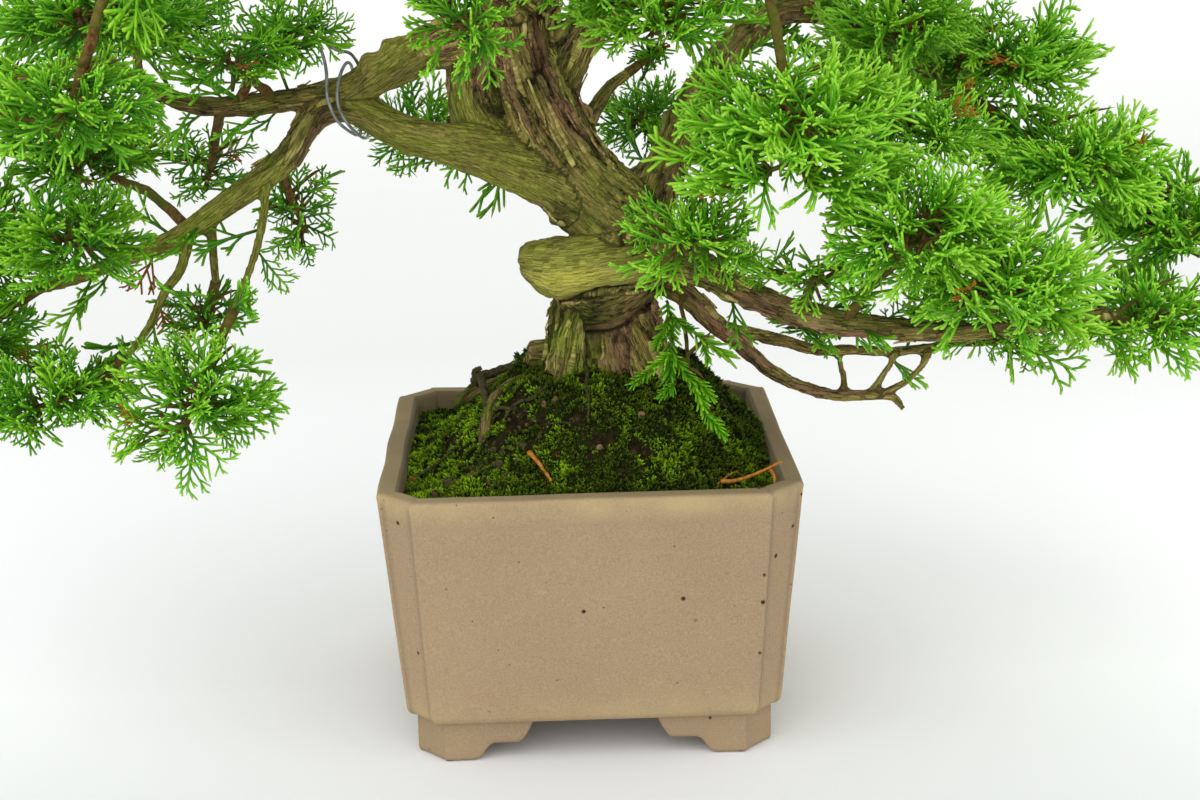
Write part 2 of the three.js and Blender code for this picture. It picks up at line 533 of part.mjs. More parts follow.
const material = (color, roughness, metalness = 0) =>
  new THREE.MeshStandardMaterial({ color, roughness, metalness });
const clay = material("#ad9a7c", 0.9);
const earth = material("#3d3a1c", 1);
const bark = material("#7a6a4a", 0.9);
const leaf = material("#3f8a1e", 0.6);
const iron = material("#4a4b4c", 0.5, 0.8);
const plastic = material("#20231f", 0.7);

const bonsai = new THREE.Group();
bonsai.name = "juniper_bonsai";
bonsai.add(meshOf("pot", potSolid(), clay));
bonsai.add(meshOf("drain_screen", screenSolid(), plastic));
bonsai.add(meshOf("soil", soilSolid(), earth));
const wood = woodSolid();
bonsai.add(meshOf("wood", wood, bark));
bonsai.add(meshOf("tie_wire", wireSolid(), iron));
const placed = [wood];
Object.entries(SPRAYS).forEach(([name, entry], index) => {
  placed.push(spraySolid(entry, seeded(100 + index), placed));
  bonsai.add(meshOf("spray_" + name, placed.at(-1), leaf));
});

export default bonsai;
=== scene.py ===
# Chinese juniper bonsai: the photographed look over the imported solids. Lengths are in millimetres
# and become metres where a mesh is made.
import math
from types import SimpleNamespace

import bmesh
import bpy
import numpy as np
from mathutils import Matrix, Vector, kdtree


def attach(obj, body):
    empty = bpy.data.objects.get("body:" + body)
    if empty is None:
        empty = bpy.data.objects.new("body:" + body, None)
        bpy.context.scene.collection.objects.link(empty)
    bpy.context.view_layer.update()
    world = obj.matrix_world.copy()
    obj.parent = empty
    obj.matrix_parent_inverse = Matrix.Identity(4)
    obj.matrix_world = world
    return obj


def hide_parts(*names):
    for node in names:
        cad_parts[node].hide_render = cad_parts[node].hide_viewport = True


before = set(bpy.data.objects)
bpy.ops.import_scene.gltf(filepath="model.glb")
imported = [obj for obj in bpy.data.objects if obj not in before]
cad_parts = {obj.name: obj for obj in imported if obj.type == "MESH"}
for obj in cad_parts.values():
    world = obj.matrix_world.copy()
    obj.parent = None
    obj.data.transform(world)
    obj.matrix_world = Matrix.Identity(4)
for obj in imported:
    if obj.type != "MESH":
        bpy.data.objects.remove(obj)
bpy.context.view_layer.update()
MM = 0.001

# Sizes shared with the solids: the pot, its feet, the soil, the crown's reach and the wire
HALF_WIDTH = 77.5
POT_HEIGHT = 106
FEET = 15.5
TAPER = 7.3
WALL = 8
RIM_CUT, BOTTOM_CUT, CUT_PER_INSET = 12.3, 9.6, 0.586
PANEL_RECESS, INNER_RECESS = 1.6, 1.4
EDGE_ROUND, BOTTOM_ROUND = 1.6, 4
DRAIN_RADIUS = 12
FOOT_INSET, FOOT_CUT, FOOT_RECESS, FOOT_WALL = 3.4, 10.2, 0.9, 10
FOOT_TOE, FOOT_CURVE, FOOT_LEDGE, FOOT_LEDGE_HEIGHT = 12.8, 4.5, 12, 6.6
SOIL_EDGE, SOIL_CROWN, SOIL_INNER, SOIL_OUTER = 99, 137, 28, 76
CROWN = np.array([260, 165, 402])
WIRE_RADIUS = 0.62
GOLDEN_ANGLE = math.pi * (3 - math.sqrt(5))

# Amounts of surface detail
MOSS_TUFTS, MOSS_BLADES = 9000, 6
PEBBLES = 90
FLAKES = 420
BURRS = 110
FRONDS_PER_SPRAY = 77
SKIN_VOXEL = 1.25

# The trunk and each branch: x, y, z and radius along it, from its root to its end
WOOD = {
    "trunk": [
        (6, 0, 84, 12), (8, 0, 108, 19), (8, 0, 131, 23), (8, 0, 142, 22), (8, 0, 153, 21),
        (9, 0, 164, 20), (14, 1, 178, 19), (15, 2, 189, 17.5), (4, 1, 203, 16), (-6, 0, 218, 15),
        (-14, 0, 235, 14.5), (-19, 3, 252, 14), (-20, 6, 271, 13), (-14, 8, 290, 12), (-2, 7, 309, 10.5),
        (6, 3, 328, 8.5), (4, 0, 346, 6.5), (-2, 0, 360, 4.5), (-4, 0, 371, 3),
    ],
    "limb_left": [
        (-22, -2, 216, 9), (-35, 4, 227, 10.5), (-39, 8, 240, 10.5), (-36, 8, 253, 10.5),
        (-26, 7, 269, 9),
    ],
    "limb_right": [
        (-11, 2, 237, 9), (-2, 4, 255, 9), (9, 10, 268, 8), (25, 18, 280, 7), (44, 22, 292, 6),
        (62, 20, 306, 4.5),
    ],
    "knob": [
        (36, 2, 179, 8), (26, -6, 177, 10.5), (12, -10, 176, 11.5), (-4, -10, 175.5, 11.8),
        (-15, -9, 176, 11.2), (-21, -8, 177, 9.4), (-24, -8, 177, 5.5),
    ],
    "upper_left": [
        (-27, 6, 264, 10), (-45, 4, 261, 9.5), (-60, 2, 256, 8.4), (-74, 0, 249, 7.4),
        (-87, -1, 242, 6.4), (-104, 0, 240, 4.8), (-123, 2, 238, 4.3), (-140, 4, 238, 4),
        (-155, 6, 242, 3.6), (-171, 8, 251, 3), (-188, 8, 257, 2.4),
    ],
    "bare": [
        (7, 0, 197, 13), (-13, -5, 210, 11), (-34, -6, 219, 9), (-52, -5, 224, 7.6), (-67, -4, 228, 6.8),
        (-81, -2, 235, 6.4), (-93, -3, 237, 5.8), (-101, -4, 230, 5.5), (-108, -6, 220, 5.4),
        (-121, -8, 210, 5), (-137, -10, 200, 4.5), (-152, -12, 191, 3.8), (-169, -14, 185, 3.2),
        (-188, -16, 178, 2.6), (-207, -16, 173, 2.2),
    ],
    "hang_a": [
        (-115, -8, 216, 2.2), (-117, -12, 207, 1.9), (-119, -18, 194, 1.8), (-122, -28, 183, 1.7),
        (-128, -42, 168, 1.6),
    ],
    "hang_b": [(-138, -10, 199, 2.2), (-139, -8, 185, 2), (-139, -6, 172, 1.8)],
    "hang_c": [
        (-146, -12, 193, 2.4), (-150, -16, 180, 2.2), (-156, -20, 172, 2), (-162, -24, 160, 1.8),
        (-172, -27, 148, 1.6),
    ],
    "right_rear": [
        (23, 3, 184, 10), (29, 12, 197, 9), (36, 20, 211, 8.5), (44, 28, 226, 8), (53, 34, 241, 7.5),
        (65, 38, 255, 6.5), (82, 40, 265, 5.5), (104, 38, 262, 4.8), (128, 32, 249, 4),
        (150, 24, 232, 3.2), (170, 14, 218, 2.6),
    ],
    "dead_stub": [(2, 4, 225, 4), (7, 8, 234, 3), (13, 14, 241, 2.6), (20, 20, 245, 2)],
    "right_front": [
        (22, -4, 181, 8), (43, -25, 177, 6), (62, -42, 170, 5.5), (79, -54, 165, 5), (101, -62, 162, 4.5),
        (129, -66, 161, 4), (158, -66, 162, 3.4), (187, -60, 164, 2.8),
    ],
    "right_low": [
        (24, 0, 171, 6), (40, -4, 162, 4.6), (48, -4, 153, 4), (57, -2, 145, 3.6), (66, 0, 136, 3.2),
        (74, 2, 129, 3), (84, 4, 123, 2.8), (98, 6, 118, 2.6), (111, 8, 117, 2.4), (122, 9, 116, 2.2),
        (127, 9, 110, 1.2),
    ],
    "right_mid": [
        (54, -3, 149, 3), (67, 4, 144, 3), (79, 8, 140, 2.8), (92, 12, 135, 2.6), (108, 14, 134, 2.4),
        (126, 14, 133, 2.2), (144, 10, 136, 2),
    ],
    "low_twig_a": [(102, 7, 117, 1.8), (103, 9, 124, 1.6), (101, 11, 131, 1.4)],
    "low_twig_b": [(113, 8, 117, 1.8), (119, 10, 125, 1.6), (124, 12, 132, 1.4)],
    "low_twig_c": [(116, 8, 116, 1.9), (129, 9, 123, 1.7), (137, 10, 132, 1.5)],
    "back_left": [(0, 4, 208, 8), (-20, 30, 218, 6), (-38, 52, 217, 4.6), (-52, 67, 212, 3.4)],
    "back_right": [(14, 6, 196, 8), (26, 36, 202, 6), (38, 64, 204, 4.6), (58, 84, 202, 3.4)],
    "front_left": [
        (-21, 0, 272, 9), (-48, -34, 297, 7), (-88, -64, 304, 5.6), (-124, -80, 303, 4.4),
        (-150, -90, 297, 3.4),
    ],
    "front_right": [(-14, 0, 279, 9), (10, -32, 299, 7), (40, -66, 303, 5.6), (62, -88, 296, 4.2)],
    "crown_left": [(-14, 8, 288, 8), (-44, 22, 300, 6.6), (-82, 28, 302, 5.2), (-122, 26, 295, 3.8)],
    "crown_right": [(-4, 7, 304, 8), (32, 2, 316, 6), (74, -8, 314, 4.8), (112, -16, 304, 3.4)],
    "crown_front": [(0, 5, 316, 7), (-8, -30, 326, 5.4), (-10, -66, 322, 4.2), (-8, -96, 314, 3.2)],
    "crown_back": [(-10, 8, 296, 7.5), (-4, 44, 302, 6), (4, 84, 294, 4.6), (6, 108, 284, 3.4)],
}
# Surface roots, from under the trunk to where they dive into the soil
ROOTS = [
    [(-2, -2, 130, 8), (-20, -8, 130, 5), (-34, -17, 126, 3.6), (-38, -28, 117, 3.2), (-38, -36, 106, 2.6)],
    [(0, 8, 128, 8), (-22, 16, 128, 5.5), (-40, 26, 120, 4), (-52, 34, 109, 3)],
    [(16, -4, 126, 9), (28, -22, 123, 5.5), (38, -38, 110, 4), (44, -50, 98, 3)],
    [(18, 4, 128, 8), (38, 10, 124, 5.4), (54, 16, 111, 4), (63, 20, 100, 3)],
    [(8, 10, 128, 8), (14, 30, 126, 5.2), (20, 46, 116, 4), (24, 58, 104, 3)],
    [(2, 0, 136, 9), (-12, -2, 140, 5.6), (-22, -4, 141, 4.6)],
    [(-1, -12, 159, 5.5), (-4, -15, 150, 7), (-6, -16, 140, 8), (-9, -19, 126, 8)],
    [(17, -10, 158, 6.5), (21, -13, 147, 8), (25, -17, 136, 8.6), (30, -23, 124, 7)],
]
# Leafy sprays: the branch and the share of its length that each grows from, its middle, its half sizes,
# and how many leading shoots fork in it
SPRAYS = {
    "left_hang_front": ("hang_a", 0.98, (-141, -62, 139), (30, 28, 29), 5),
    "left_low_outer": ("hang_c", 0.98, (-197, -34, 136), (30, 34, 20), 5),
    "left_under": ("hang_b", 0.98, (-146, 4, 157), (22, 28, 12), 3),
    "left_low_far": ("bare", 0.98, (-236, -8, 152), (30, 42, 23), 4),
    "left_mid_outer": ("bare", 0.93, (-231, -26, 193), (38, 43, 24), 5),
    "left_mid": ("bare", 0.84, (-180, -52, 199), (27, 38, 23), 4),
    "left_mid_back": ("bare", 0.76, (-196, 52, 212), (36, 40, 20), 3),
    "left_inner_low": ("bare", 0.6, (-108, 14, 193), (19, 28, 26), 3),
    "left_inner": ("upper_left", 0.66, (-146, 40, 208), (24, 30, 17), 3),
    "left_upper_outer": ("upper_left", 0.98, (-234, 10, 238), (36, 50, 22), 4),
    "left_top": ("upper_left", 0.92, (-172, -42, 274), (37, 40, 20), 4),
    "left_top_back": ("upper_left", 0.86, (-176, 72, 262), (38, 44, 20), 3),
    "left_top_inner": ("upper_left", 0.63, (-106, -14, 264), (25, 34, 14), 3),
    "left_front_inner": ("upper_left", 0.55, (-122, -40, 258), (28, 24, 13), 3),
    "left_upper_front": ("front_left", 0.97, (-168, -98, 250), (33, 34, 20), 4),
    "front_hang": ("front_left", 0.42, (-38, -112, 276), (20, 22, 23), 4),
    "crown_front_left": ("front_left", 0.62, (-98, -104, 312), (36, 38, 20), 3),
    "back_left": ("back_left", 0.97, (-63, 90, 214), (27, 32, 24), 3),
    "back_middle": ("back_right", 0.6, (30, 94, 216), (24, 32, 20), 3),
    "back_right": ("back_right", 0.97, (90, 92, 212), (30, 36, 21), 3),
    "right_front_inner": ("right_front", 0.2, (37, -76, 198), (26, 30, 22), 5),
    "right_front_high": ("front_right", 0.96, (69, -98, 235), (42, 40, 30), 5),
    "right_front_top": ("front_right", 0.62, (27, -70, 273), (34, 30, 15), 3),
    "front_middle": ("front_right", 0.4, (-2, -92, 292), (22, 30, 17), 4),
    "right_front_mid": ("right_front", 0.52, (112, -94, 203), (34, 40, 26), 5),
    "right_front_outer": ("right_front", 0.78, (141, -88, 182), (37, 42, 25), 5),
    "right_front_low": ("right_front", 0.42, (78, -78, 184), (26, 28, 10), 3),
    "right_outer_low": ("right_front", 0.97, (204, -44, 158), (32, 40, 19), 4),
    "right_low_outer": ("right_mid", 0.97, (162, -8, 143), (24, 30, 12), 4),
    "right_low_inner": ("right_mid", 0.5, (98, 20, 142), (24, 24, 10), 2),
    "right_top_inner": ("right_rear", 0.62, (117, -4, 262), (30, 38, 18), 3),
    "right_middle": ("right_rear", 0.66, (122, -34, 229), (30, 30, 18), 3),
    "right_top": ("right_rear", 0.78, (163, 22, 246), (38, 48, 20), 4),
    "right_outer_high": ("right_rear", 0.86, (183, -14, 211), (40, 46, 23), 4),
    "right_outer": ("right_rear", 0.99, (231, -12, 184), (40, 46, 25), 4),
    "right_back": ("right_rear", 0.7, (138, 88, 236), (38, 42, 20), 3),
    "rear_hang": ("right_rear", 0.38, (47, 6, 231), (8, 10, 21), 2),
    "base_shoot": ("right_low", 0.08, (38, -42, 142), (18, 15, 22), 4),
    "stub_shoot": ("dead_stub", 0.97, (29, 23, 251), (9, 10, 8), 2),
    "crown_left_outer": ("crown_left", 0.97, (-150, 14, 312), (40, 46, 22), 3),
    "crown_left_inner": ("crown_left", 0.5, (-72, 14, 340), (36, 40, 20), 3),
    "crown_left_back": ("crown_left", 0.7, (-96, 96, 300), (40, 44, 20), 3),
    "crown_right_outer": ("crown_right", 0.97, (142, -22, 308), (38, 46, 22), 3),
    "crown_right_inner": ("limb_right", 0.97, (78, 24, 342), (36, 42, 20), 3),
    "crown_right_front": ("crown_right", 0.55, (66, -92, 316), (38, 40, 20), 3),
    "crown_front": ("crown_front", 0.97, (-14, -128, 322), (36, 36, 20), 3),
    "crown_front_upper": ("crown_front", 0.5, (-6, -56, 352), (36, 34, 19), 3),
    "crown_back": ("crown_back", 0.97, (8, 128, 290), (40, 36, 20), 4),
    "crown_back_right": ("crown_back", 0.55, (82, 88, 300), (38, 42, 20), 3),
    "crown_back_upper": ("trunk", 0.84, (2, 56, 350), (38, 36, 19), 3),
    "apex": ("trunk", 0.99, (-4, 0, 384), (40, 38, 18), 4),
}
# How full the airy sprays are beside the others
OPEN = {
    "left_inner": 0.4, "left_inner_low": 0.4, "left_under": 0.6, "left_front_inner": 0.6,
    "left_top_inner": 0.75, "left_mid": 0.7, "left_top": 0.8, "right_front_low": 0.5, "left_low_far": 0.8,
    "back_left": 0.7, "front_hang": 0.7, "right_low_outer": 0.6, "right_low_inner": 0.6,
    "right_front_inner": 0.85, "left_upper_front": 0.85,
}
# The young, awl-leaved shoots of two sprays: where each starts and ends
HANGING = {
    "base_shoot": [
        ((31, -22, 164), (32, -38, 150)), ((32, -36, 153), (32, -49, 134)), ((32, -40, 148), (40, -46, 137)),
        ((39, -45, 139), (44, -50, 126)), ((43, -49, 128), (52, -53, 119)), ((32, -28, 160), (41, -35, 154)),
        ((40, -34, 155), (55, -43, 144)), ((32, -40, 149), (22, -46, 143)), ((23, -46, 144), (15, -51, 139)),
        ((32, -46, 139), (25, -51, 134)), ((38, -44, 141), (48, -49, 132)), ((43, -37, 152), (46, -41, 143)),
        ((31, -30, 158), (26, -39, 149)),
    ],
    "rear_hang": [
        ((49, 8, 254), (48, 6, 238)), ((48, 6, 241), (46, 5, 226)), ((46, 5, 229), (46, 6, 210)),
        ((48, 7, 246), (54, 4, 239)), ((47, 6, 236), (41, 4, 229)), ((46, 5, 228), (52, 4, 220)),
        ((46, 6, 220), (41, 6, 212)), ((48, 7, 250), (43, 5, 245)),
    ],
}
# Branches with single shoots on them: where along the branch they begin, and every how many millimetres
BRANCH_SHOOTS = [
    ("front_left", 0.35, 6), ("front_right", 0.3, 6), ("upper_left", 0.5, 7), ("bare", 0.72, 8),
    ("hang_a", 0.4, 9), ("hang_c", 0.4, 9), ("right_rear", 0.35, 7), ("right_front", 0.25, 7),
    ("right_mid", 0.75, 10), ("crown_left", 0.4, 8), ("crown_right", 0.4, 8), ("crown_front", 0.3, 7),
    ("crown_back", 0.4, 9), ("limb_right", 0.5, 8), ("back_left", 0.5, 10), ("back_right", 0.5, 10),
    ("trunk", 0.93, 8),
]


# Meshes
def mesh_object(name, points, quads=(), triangles=(), materials=(), slots=None, scale=MM, **values):
    """A smooth mesh from points, quads and triangles. values are numbers or vectors, one for each point."""
    points = np.asarray(points, float)
    quads = np.asarray(quads, int).reshape(-1, 4)
    triangles = np.asarray(triangles, int).reshape(-1, 3)
    mesh = bpy.data.meshes.new(name)
    mesh.vertices.add(len(points))
    mesh.vertices.foreach_set("co", (points * scale).ravel())
    mesh.loops.add(quads.size + triangles.size)
    mesh.loops.foreach_set("vertex_index", np.concatenate([quads.ravel(), triangles.ravel()]))
    mesh.polygons.add(len(quads) + len(triangles))
    sizes = np.concatenate([np.full(len(quads), 4), np.full(len(triangles), 3)])
    mesh.polygons.foreach_set("loop_start", np.concatenate([[0], np.cumsum(sizes)[:-1]]).astype(int))
    for material in materials:
        mesh.materials.append(material)
    if slots is not None:
        mesh.polygons.foreach_set("material_index", np.asarray(slots, int))
    for key, value in values.items():
        add_values(mesh, key, value)
    mesh.update(calc_edges=True)
    mesh.validate()
    mesh.polygons.foreach_set("use_smooth", np.ones(len(mesh.polygons), bool))
    obj = bpy.data.objects.new(name, mesh)
    bpy.context.scene.collection.objects.link(obj)
    return obj


def add_values(mesh, key, value):
    value = np.asarray(value, float)
    if value.ndim == 2:
        mesh.attributes.new(key, "FLOAT_VECTOR", "POINT").data.foreach_set("vector", value.ravel())
    else:
        mesh.attributes.new(key, "FLOAT", "POINT").data.foreach_set("value", value)


def unit(v):
    return v / np.maximum(np.linalg.norm(v, axis=-1, keepdims=True), 1e-9)


def clamped(value):
    return np.clip(value, 0, 1)


def turns(count):
    return np.linspace(0, 2 * math.pi, count, endpoint=False)


def bump(x, y, at, size):
    """A rounded hill of height 1 over a plane."""
    return np.exp(-(((x - at[0]) / size[0]) ** 2) - ((y - at[1]) / size[1]) ** 2)


def ridge(away, width):
    """A rounded rise of height 1 along a line."""
    return np.exp(-((away / width) ** 2))


def grid_quads(rows, columns, closed=True):
    """Quads between rows of points, joined round from each row's end to its start where closed."""
    i, j = np.meshgrid(np.arange(rows - 1), np.arange(columns if closed else columns - 1), indexing="ij")
    a, b = i * columns + j, i * columns + (j + 1) % columns
    return np.stack([a, b, b + columns, a + columns], -1).reshape(-1, 4)


def hashed(cell, seed):
    """A random value from 0 to 1 for each whole-numbered place."""
    at = cell & 0xFFFFF
    mixed = (at[:, 0] * 73856093 ^ at[:, 1] * 19349663 ^ at[:, 2] * 83492791 ^ seed * 2654435) & 0xFFFFFFFF
    mixed = (mixed ^ mixed >> 13) * 1274126177 & 0xFFFFFFFF
    return (mixed ^ mixed >> 16 & 0xFFFF) % 65536 / 65535


def plates(points, seed):
    """Scattered plates: how far a point is from its plate's edge, and the plate's own value from 0 to 1."""
    base = np.floor(points).astype(np.int64)
    first = np.full(len(points), 9.0)
    second = first.copy()
    own = np.zeros(len(points))
    for k in range(27):
        cell = base + [k % 3 - 1, k // 3 % 3 - 1, k // 9 - 1]
        spot = cell + np.column_stack([hashed(cell, seed + axis) for axis in range(3)])
        gap = np.linalg.norm(points - spot, axis=1)
        nearer = gap < first
        second = np.where(nearer, first, np.minimum(second, gap))
        own = np.where(nearer, hashed(cell, seed + 3), own)
        first = np.where(nearer, gap, first)
    return second - first, own


def noise(points, seed=0):
    """Smooth noise from 0 to 1 at points in space, with features of about one unit."""
    points = np.asarray(points, float)
    cell = np.floor(points).astype(np.int64)
    t = points - cell
    t = t * t * (3 - 2 * t)
    total = np.zeros(len(points))
    for corner in range(8):
        bits = np.array([corner & 1, corner >> 1 & 1, corner >> 2 & 1])
        total += hashed(cell + bits, seed) * np.prod(np.where(bits, t, 1 - t), axis=1)
    return total


# Curves
def catmull(waypoints, t):
    """The points at shares t of a smooth curve through the waypoints."""
    p = np.asarray(waypoints, float)[:, :3]
    count = len(p) - 1
    p = np.vstack([2 * p[0] - p[1], p, 2 * p[-1] - p[-2]])
    u = clamped(np.atleast_1d(t)) * count
    i = np.minimum(u.astype(int), count - 1)
    w = (u - i)[:, None]
    a, b, c, d = p[i], p[i + 1], p[i + 2], p[i + 3]
    m, n = (c - a) / 2, (d - b) / 2
    return (2 * b - 2 * c + m + n) * w**3 + (-3 * b + 3 * c - 2 * m - n) * w**2 + m * w + b


def radius_at(waypoints, t):
    radii = [p[3] for p in waypoints]
    return np.interp(clamped(t) * (len(radii) - 1), range(len(radii)), radii)


def quadratic(a, b, c, t):
    t = np.atleast_1d(t)[:, None]
    return (1 - t) ** 2 * a + 2 * (1 - t) * t * b + t**2 * c


def even_shares(waypoints, step):
    fine = np.linspace(0, 1, 400)
    path = catmull(waypoints, fine)
    length = np.concatenate([[0], np.cumsum(np.linalg.norm(np.diff(path, axis=0), axis=1))])
    count = max(3, int(round(length[-1] / step)) + 1)
    marks = np.linspace(0, length[-1], count)
    return np.interp(marks, length, fine), marks


def side_frames(path):
    """Tangents, normals and binormals along a path, turning as little as they can."""
    tangent = unit(np.gradient(path, axis=0))
    aside = np.cross(tangent[0], [0.3, 0.2, 1])
    normals = []
    for along in tangent:
        aside = aside - along * (aside @ along)
        aside = aside / np.linalg.norm(aside)
        normals.append(aside)
    normal = np.array(normals)
    return tangent, normal, np.cross(tangent, normal)


def tube(path, radii, sides, swell=1.0):
    """Points and faces of a closed tube. swell is a factor for each ring and angle."""
    _, normal, binormal = side_frames(path)
    angle = turns(sides)
    reach = np.repeat(np.asarray(radii, float)[:, None], sides, 1) * swell
    ring = np.cos(angle)[:, None] * normal[:, None] + np.sin(angle)[:, None] * binormal[:, None]
    points = (path[:, None] + ring * reach[..., None]).reshape(-1, 3)
    rings = len(path)
    k = np.arange(sides)
    last = (rings - 1) * sides
    start = np.stack([np.full(sides, rings * sides), (k + 1) % sides, k], -1)
    end = np.stack([np.full(sides, rings * sides + 1), last + k, last + (k + 1) % sides], -1)
    return np.vstack([points, path[0], path[-1]]), grid_quads(rings, sides), np.vstack([start, end])


def merged(parts):
    """Several (points, quads, triangles) as one."""
    points, quads, triangles, offset = [], [], [], 0
    for p, q, t in parts:
        points.append(p)
        quads.append(np.asarray(q).reshape(-1, 4) + offset)
        triangles.append(np.asarray(t).reshape(-1, 3) + offset)
        offset += len(p)
    return np.vstack(points), np.vstack(quads), np.vstack(triangles)


# Colours and materials
def rgb(r, g, b):
    """A colour given as it shows on a screen, from 0 to 255."""
    linear = [c / 255 / 12.92 if c <= 10 else ((c / 255 + 0.055) / 1.055) ** 2.4 for c in (r, g, b)]
    return (*linear, 1)


class Shader:
    """A material and short names for its nodes."""

    def __init__(self, name, roughness=0.8, **principled):
        self.material = bpy.data.materials.new(name)
        self.material.use_nodes = True
        self.tree = self.material.node_tree
        self.surface = self.tree.nodes["Principled BSDF"]
        self.surface.inputs["Roughness"].default_value = roughness
        for key, value in principled.items():
            self.surface.inputs[key.replace("_", " ")].default_value = value

    def add(self, kind, inputs=None, **settings):
        made = self.tree.nodes.new("ShaderNode" + kind)
        for key, value in settings.items():
            setattr(made, key, value)
        for key, value in (inputs or {}).items():
            self.set(made.inputs[key], value)
        return made

    def set(self, socket, value):
        if isinstance(value, bpy.types.NodeSocket):
            self.tree.links.new(value, socket)
        else:
            socket.default_value = value

    def value(self, name):
        return self.add("Attribute", attribute_name=name).outputs["Fac"]

    def vector(self, name):
        return self.add("Attribute", attribute_name=name).outputs["Vector"]

    def place(self):
        return self.add("TexCoord").outputs["Object"]

    def noise(self, where, scale, detail=3.0, roughness=0.55):
        inputs = {"Vector": where, "Scale": scale, "Detail": detail, "Roughness": roughness}
        return self.add("TexNoise", inputs).outputs["Fac"]

    def ramp(self, value, stops):
        """Grey values or screen colours along a value."""
        made = self.add("ValToRGB", {"Fac": value})
        ramp = made.color_ramp
        while len(ramp.elements) < len(stops):
            ramp.elements.new(0.5)
        for element, (at, colour) in zip(ramp.elements, stops):
            element.position = at
            element.color = rgb(*colour) if isinstance(colour, tuple) else (colour, colour, colour, 1)
        return made.outputs["Color"]

    def mix(self, share, a, b, blend="MIX"):
        made = self.add("Mix", data_type="RGBA", blend_type=blend)
        self.set(made.inputs[0], share)
        self.set(made.inputs[6], a)
        self.set(made.inputs[7], b)
        return made.outputs[2]

    def math(self, operation, a, b=0.0, clamp=False):
        made = self.add("Math", operation=operation, use_clamp=clamp)
        self.set(made.inputs[0], a)
        self.set(made.inputs[1], b)
        return made.outputs[0]

    def times(self, a, b, clamp=False):
        return self.math("MULTIPLY", a, b, clamp)

    def stretched(self, vector, factors):
        return self.add("VectorMath", {0: vector, 1: factors}, operation="MULTIPLY").outputs[0]

    def cells(self, where, scale, feature="F1"):
        return self.add("TexVoronoi", {"Vector": where, "Scale": scale}, feature=feature).outputs

    def channel(self, colour, number):
        return self.add("SeparateColor", {"Color": colour}).outputs[number]

    def spots(self, where, scale, chosen, reach):
        """Scattered round spots, each there or not by chance."""
        cells = self.cells(where, scale)
        there = self.ramp(self.channel(cells["Color"], 0), chosen)
        return self.times(self.ramp(cells["Distance"], reach), there)

    def finish(self, colour, roughness=None, bumps=()):
        self.set(self.surface.inputs["Base Color"], colour)
        if roughness is not None:
            self.set(self.surface.inputs["Roughness"], roughness)
        normal = None
        for height, strength, distance in bumps:
            made = self.add("Bump", {"Height": height, "Strength": strength, "Distance": distance * MM})
            if normal is not None:
                self.tree.links.new(normal, made.inputs["Normal"])
            normal = made.outputs["Normal"]
        if normal is not None:
            self.tree.links.new(normal, self.surface.inputs["Normal"])
        return self.material


def clay_material():
    s = Shader("clay", roughness=0.9, Specular_IOR_Level=0.25)
    where = s.place()
    broad = s.noise(where, 22, 3)
    grain = s.noise(where, 1500, 2, 0.6)
    tone = s.ramp(broad, [(0.3, (158, 135, 105)), (0.7, (167, 144, 113))])
    colour = s.mix(0.4, tone, s.ramp(grain, [(0.3, (135, 111, 84)), (0.7, (186, 163, 132))]))
    worn = s.value("worn")
    patchy = s.times(worn, s.ramp(s.noise(where, 55, 4), [(0.35, 0.25), (0.65, 1.0)]))
    colour = s.mix(patchy, colour, rgb(196, 174, 124))
    # Darker clay: painted shade inside the pot and in the corner seams, a darker rim top, and the bottom and
    # feet a little darker
    colour = s.mix(s.times(s.value("grimy"), 0.75), colour, rgb(98, 88, 68))
    for scale, chance, shade in ((88.0, 0.25, rgb(66, 40, 24)), (230.0, 0.75, rgb(96, 70, 46))):
        specks = s.spots(where, scale, [(chance, 0.0), (chance + 0.04, 1.0)], [(0.055, 1.0), (0.095, 0.0)])
        colour = s.mix(specks, colour, shade)
    return s.finish(colour, bumps=[(broad, 0.25, 2.0), (grain, 0.45, 0.4)])


def soil_material():
    s = Shader("soil", roughness=0.95, Specular_IOR_Level=0.15)
    where = s.place()
    crumbs = s.noise(where, 420, 4, 0.65)
    colour = s.ramp(crumbs, [(0.25, (9, 7, 2)), (0.55, (38, 29, 11)), (0.8, (90, 70, 38))])
    green = s.value("mossy")
    green = s.times(green, s.ramp(s.noise(where, 180, 3), [(0.3, 0.55), (0.6, 1.0)]))
    moss = s.ramp(s.noise(where, 640, 3), [(0.3, (12, 18, 2)), (0.7, (46, 60, 8))])
    colour = s.mix(green, colour, moss)
    return s.finish(colour, bumps=[(crumbs, 0.9, 1.6)])


def moss_material():
    s = Shader("moss", roughness=0.8, Specular_IOR_Level=0.15)
    blade = s.value("tip")
    # Each blade darkens to near black at its base: partly the moss's darker old stems, partly painted shade
    # in the gaps between tufts
    young = s.ramp(blade, [(0.0, (13, 20, 2)), (0.5, (84, 118, 10)), (1.0, (184, 230, 34))])
    old = s.ramp(blade, [(0.0, (6, 9, 1)), (0.5, (38, 52, 6)), (1.0, (98, 118, 20))])
    return s.finish(s.mix(s.value("hue"), old, young))


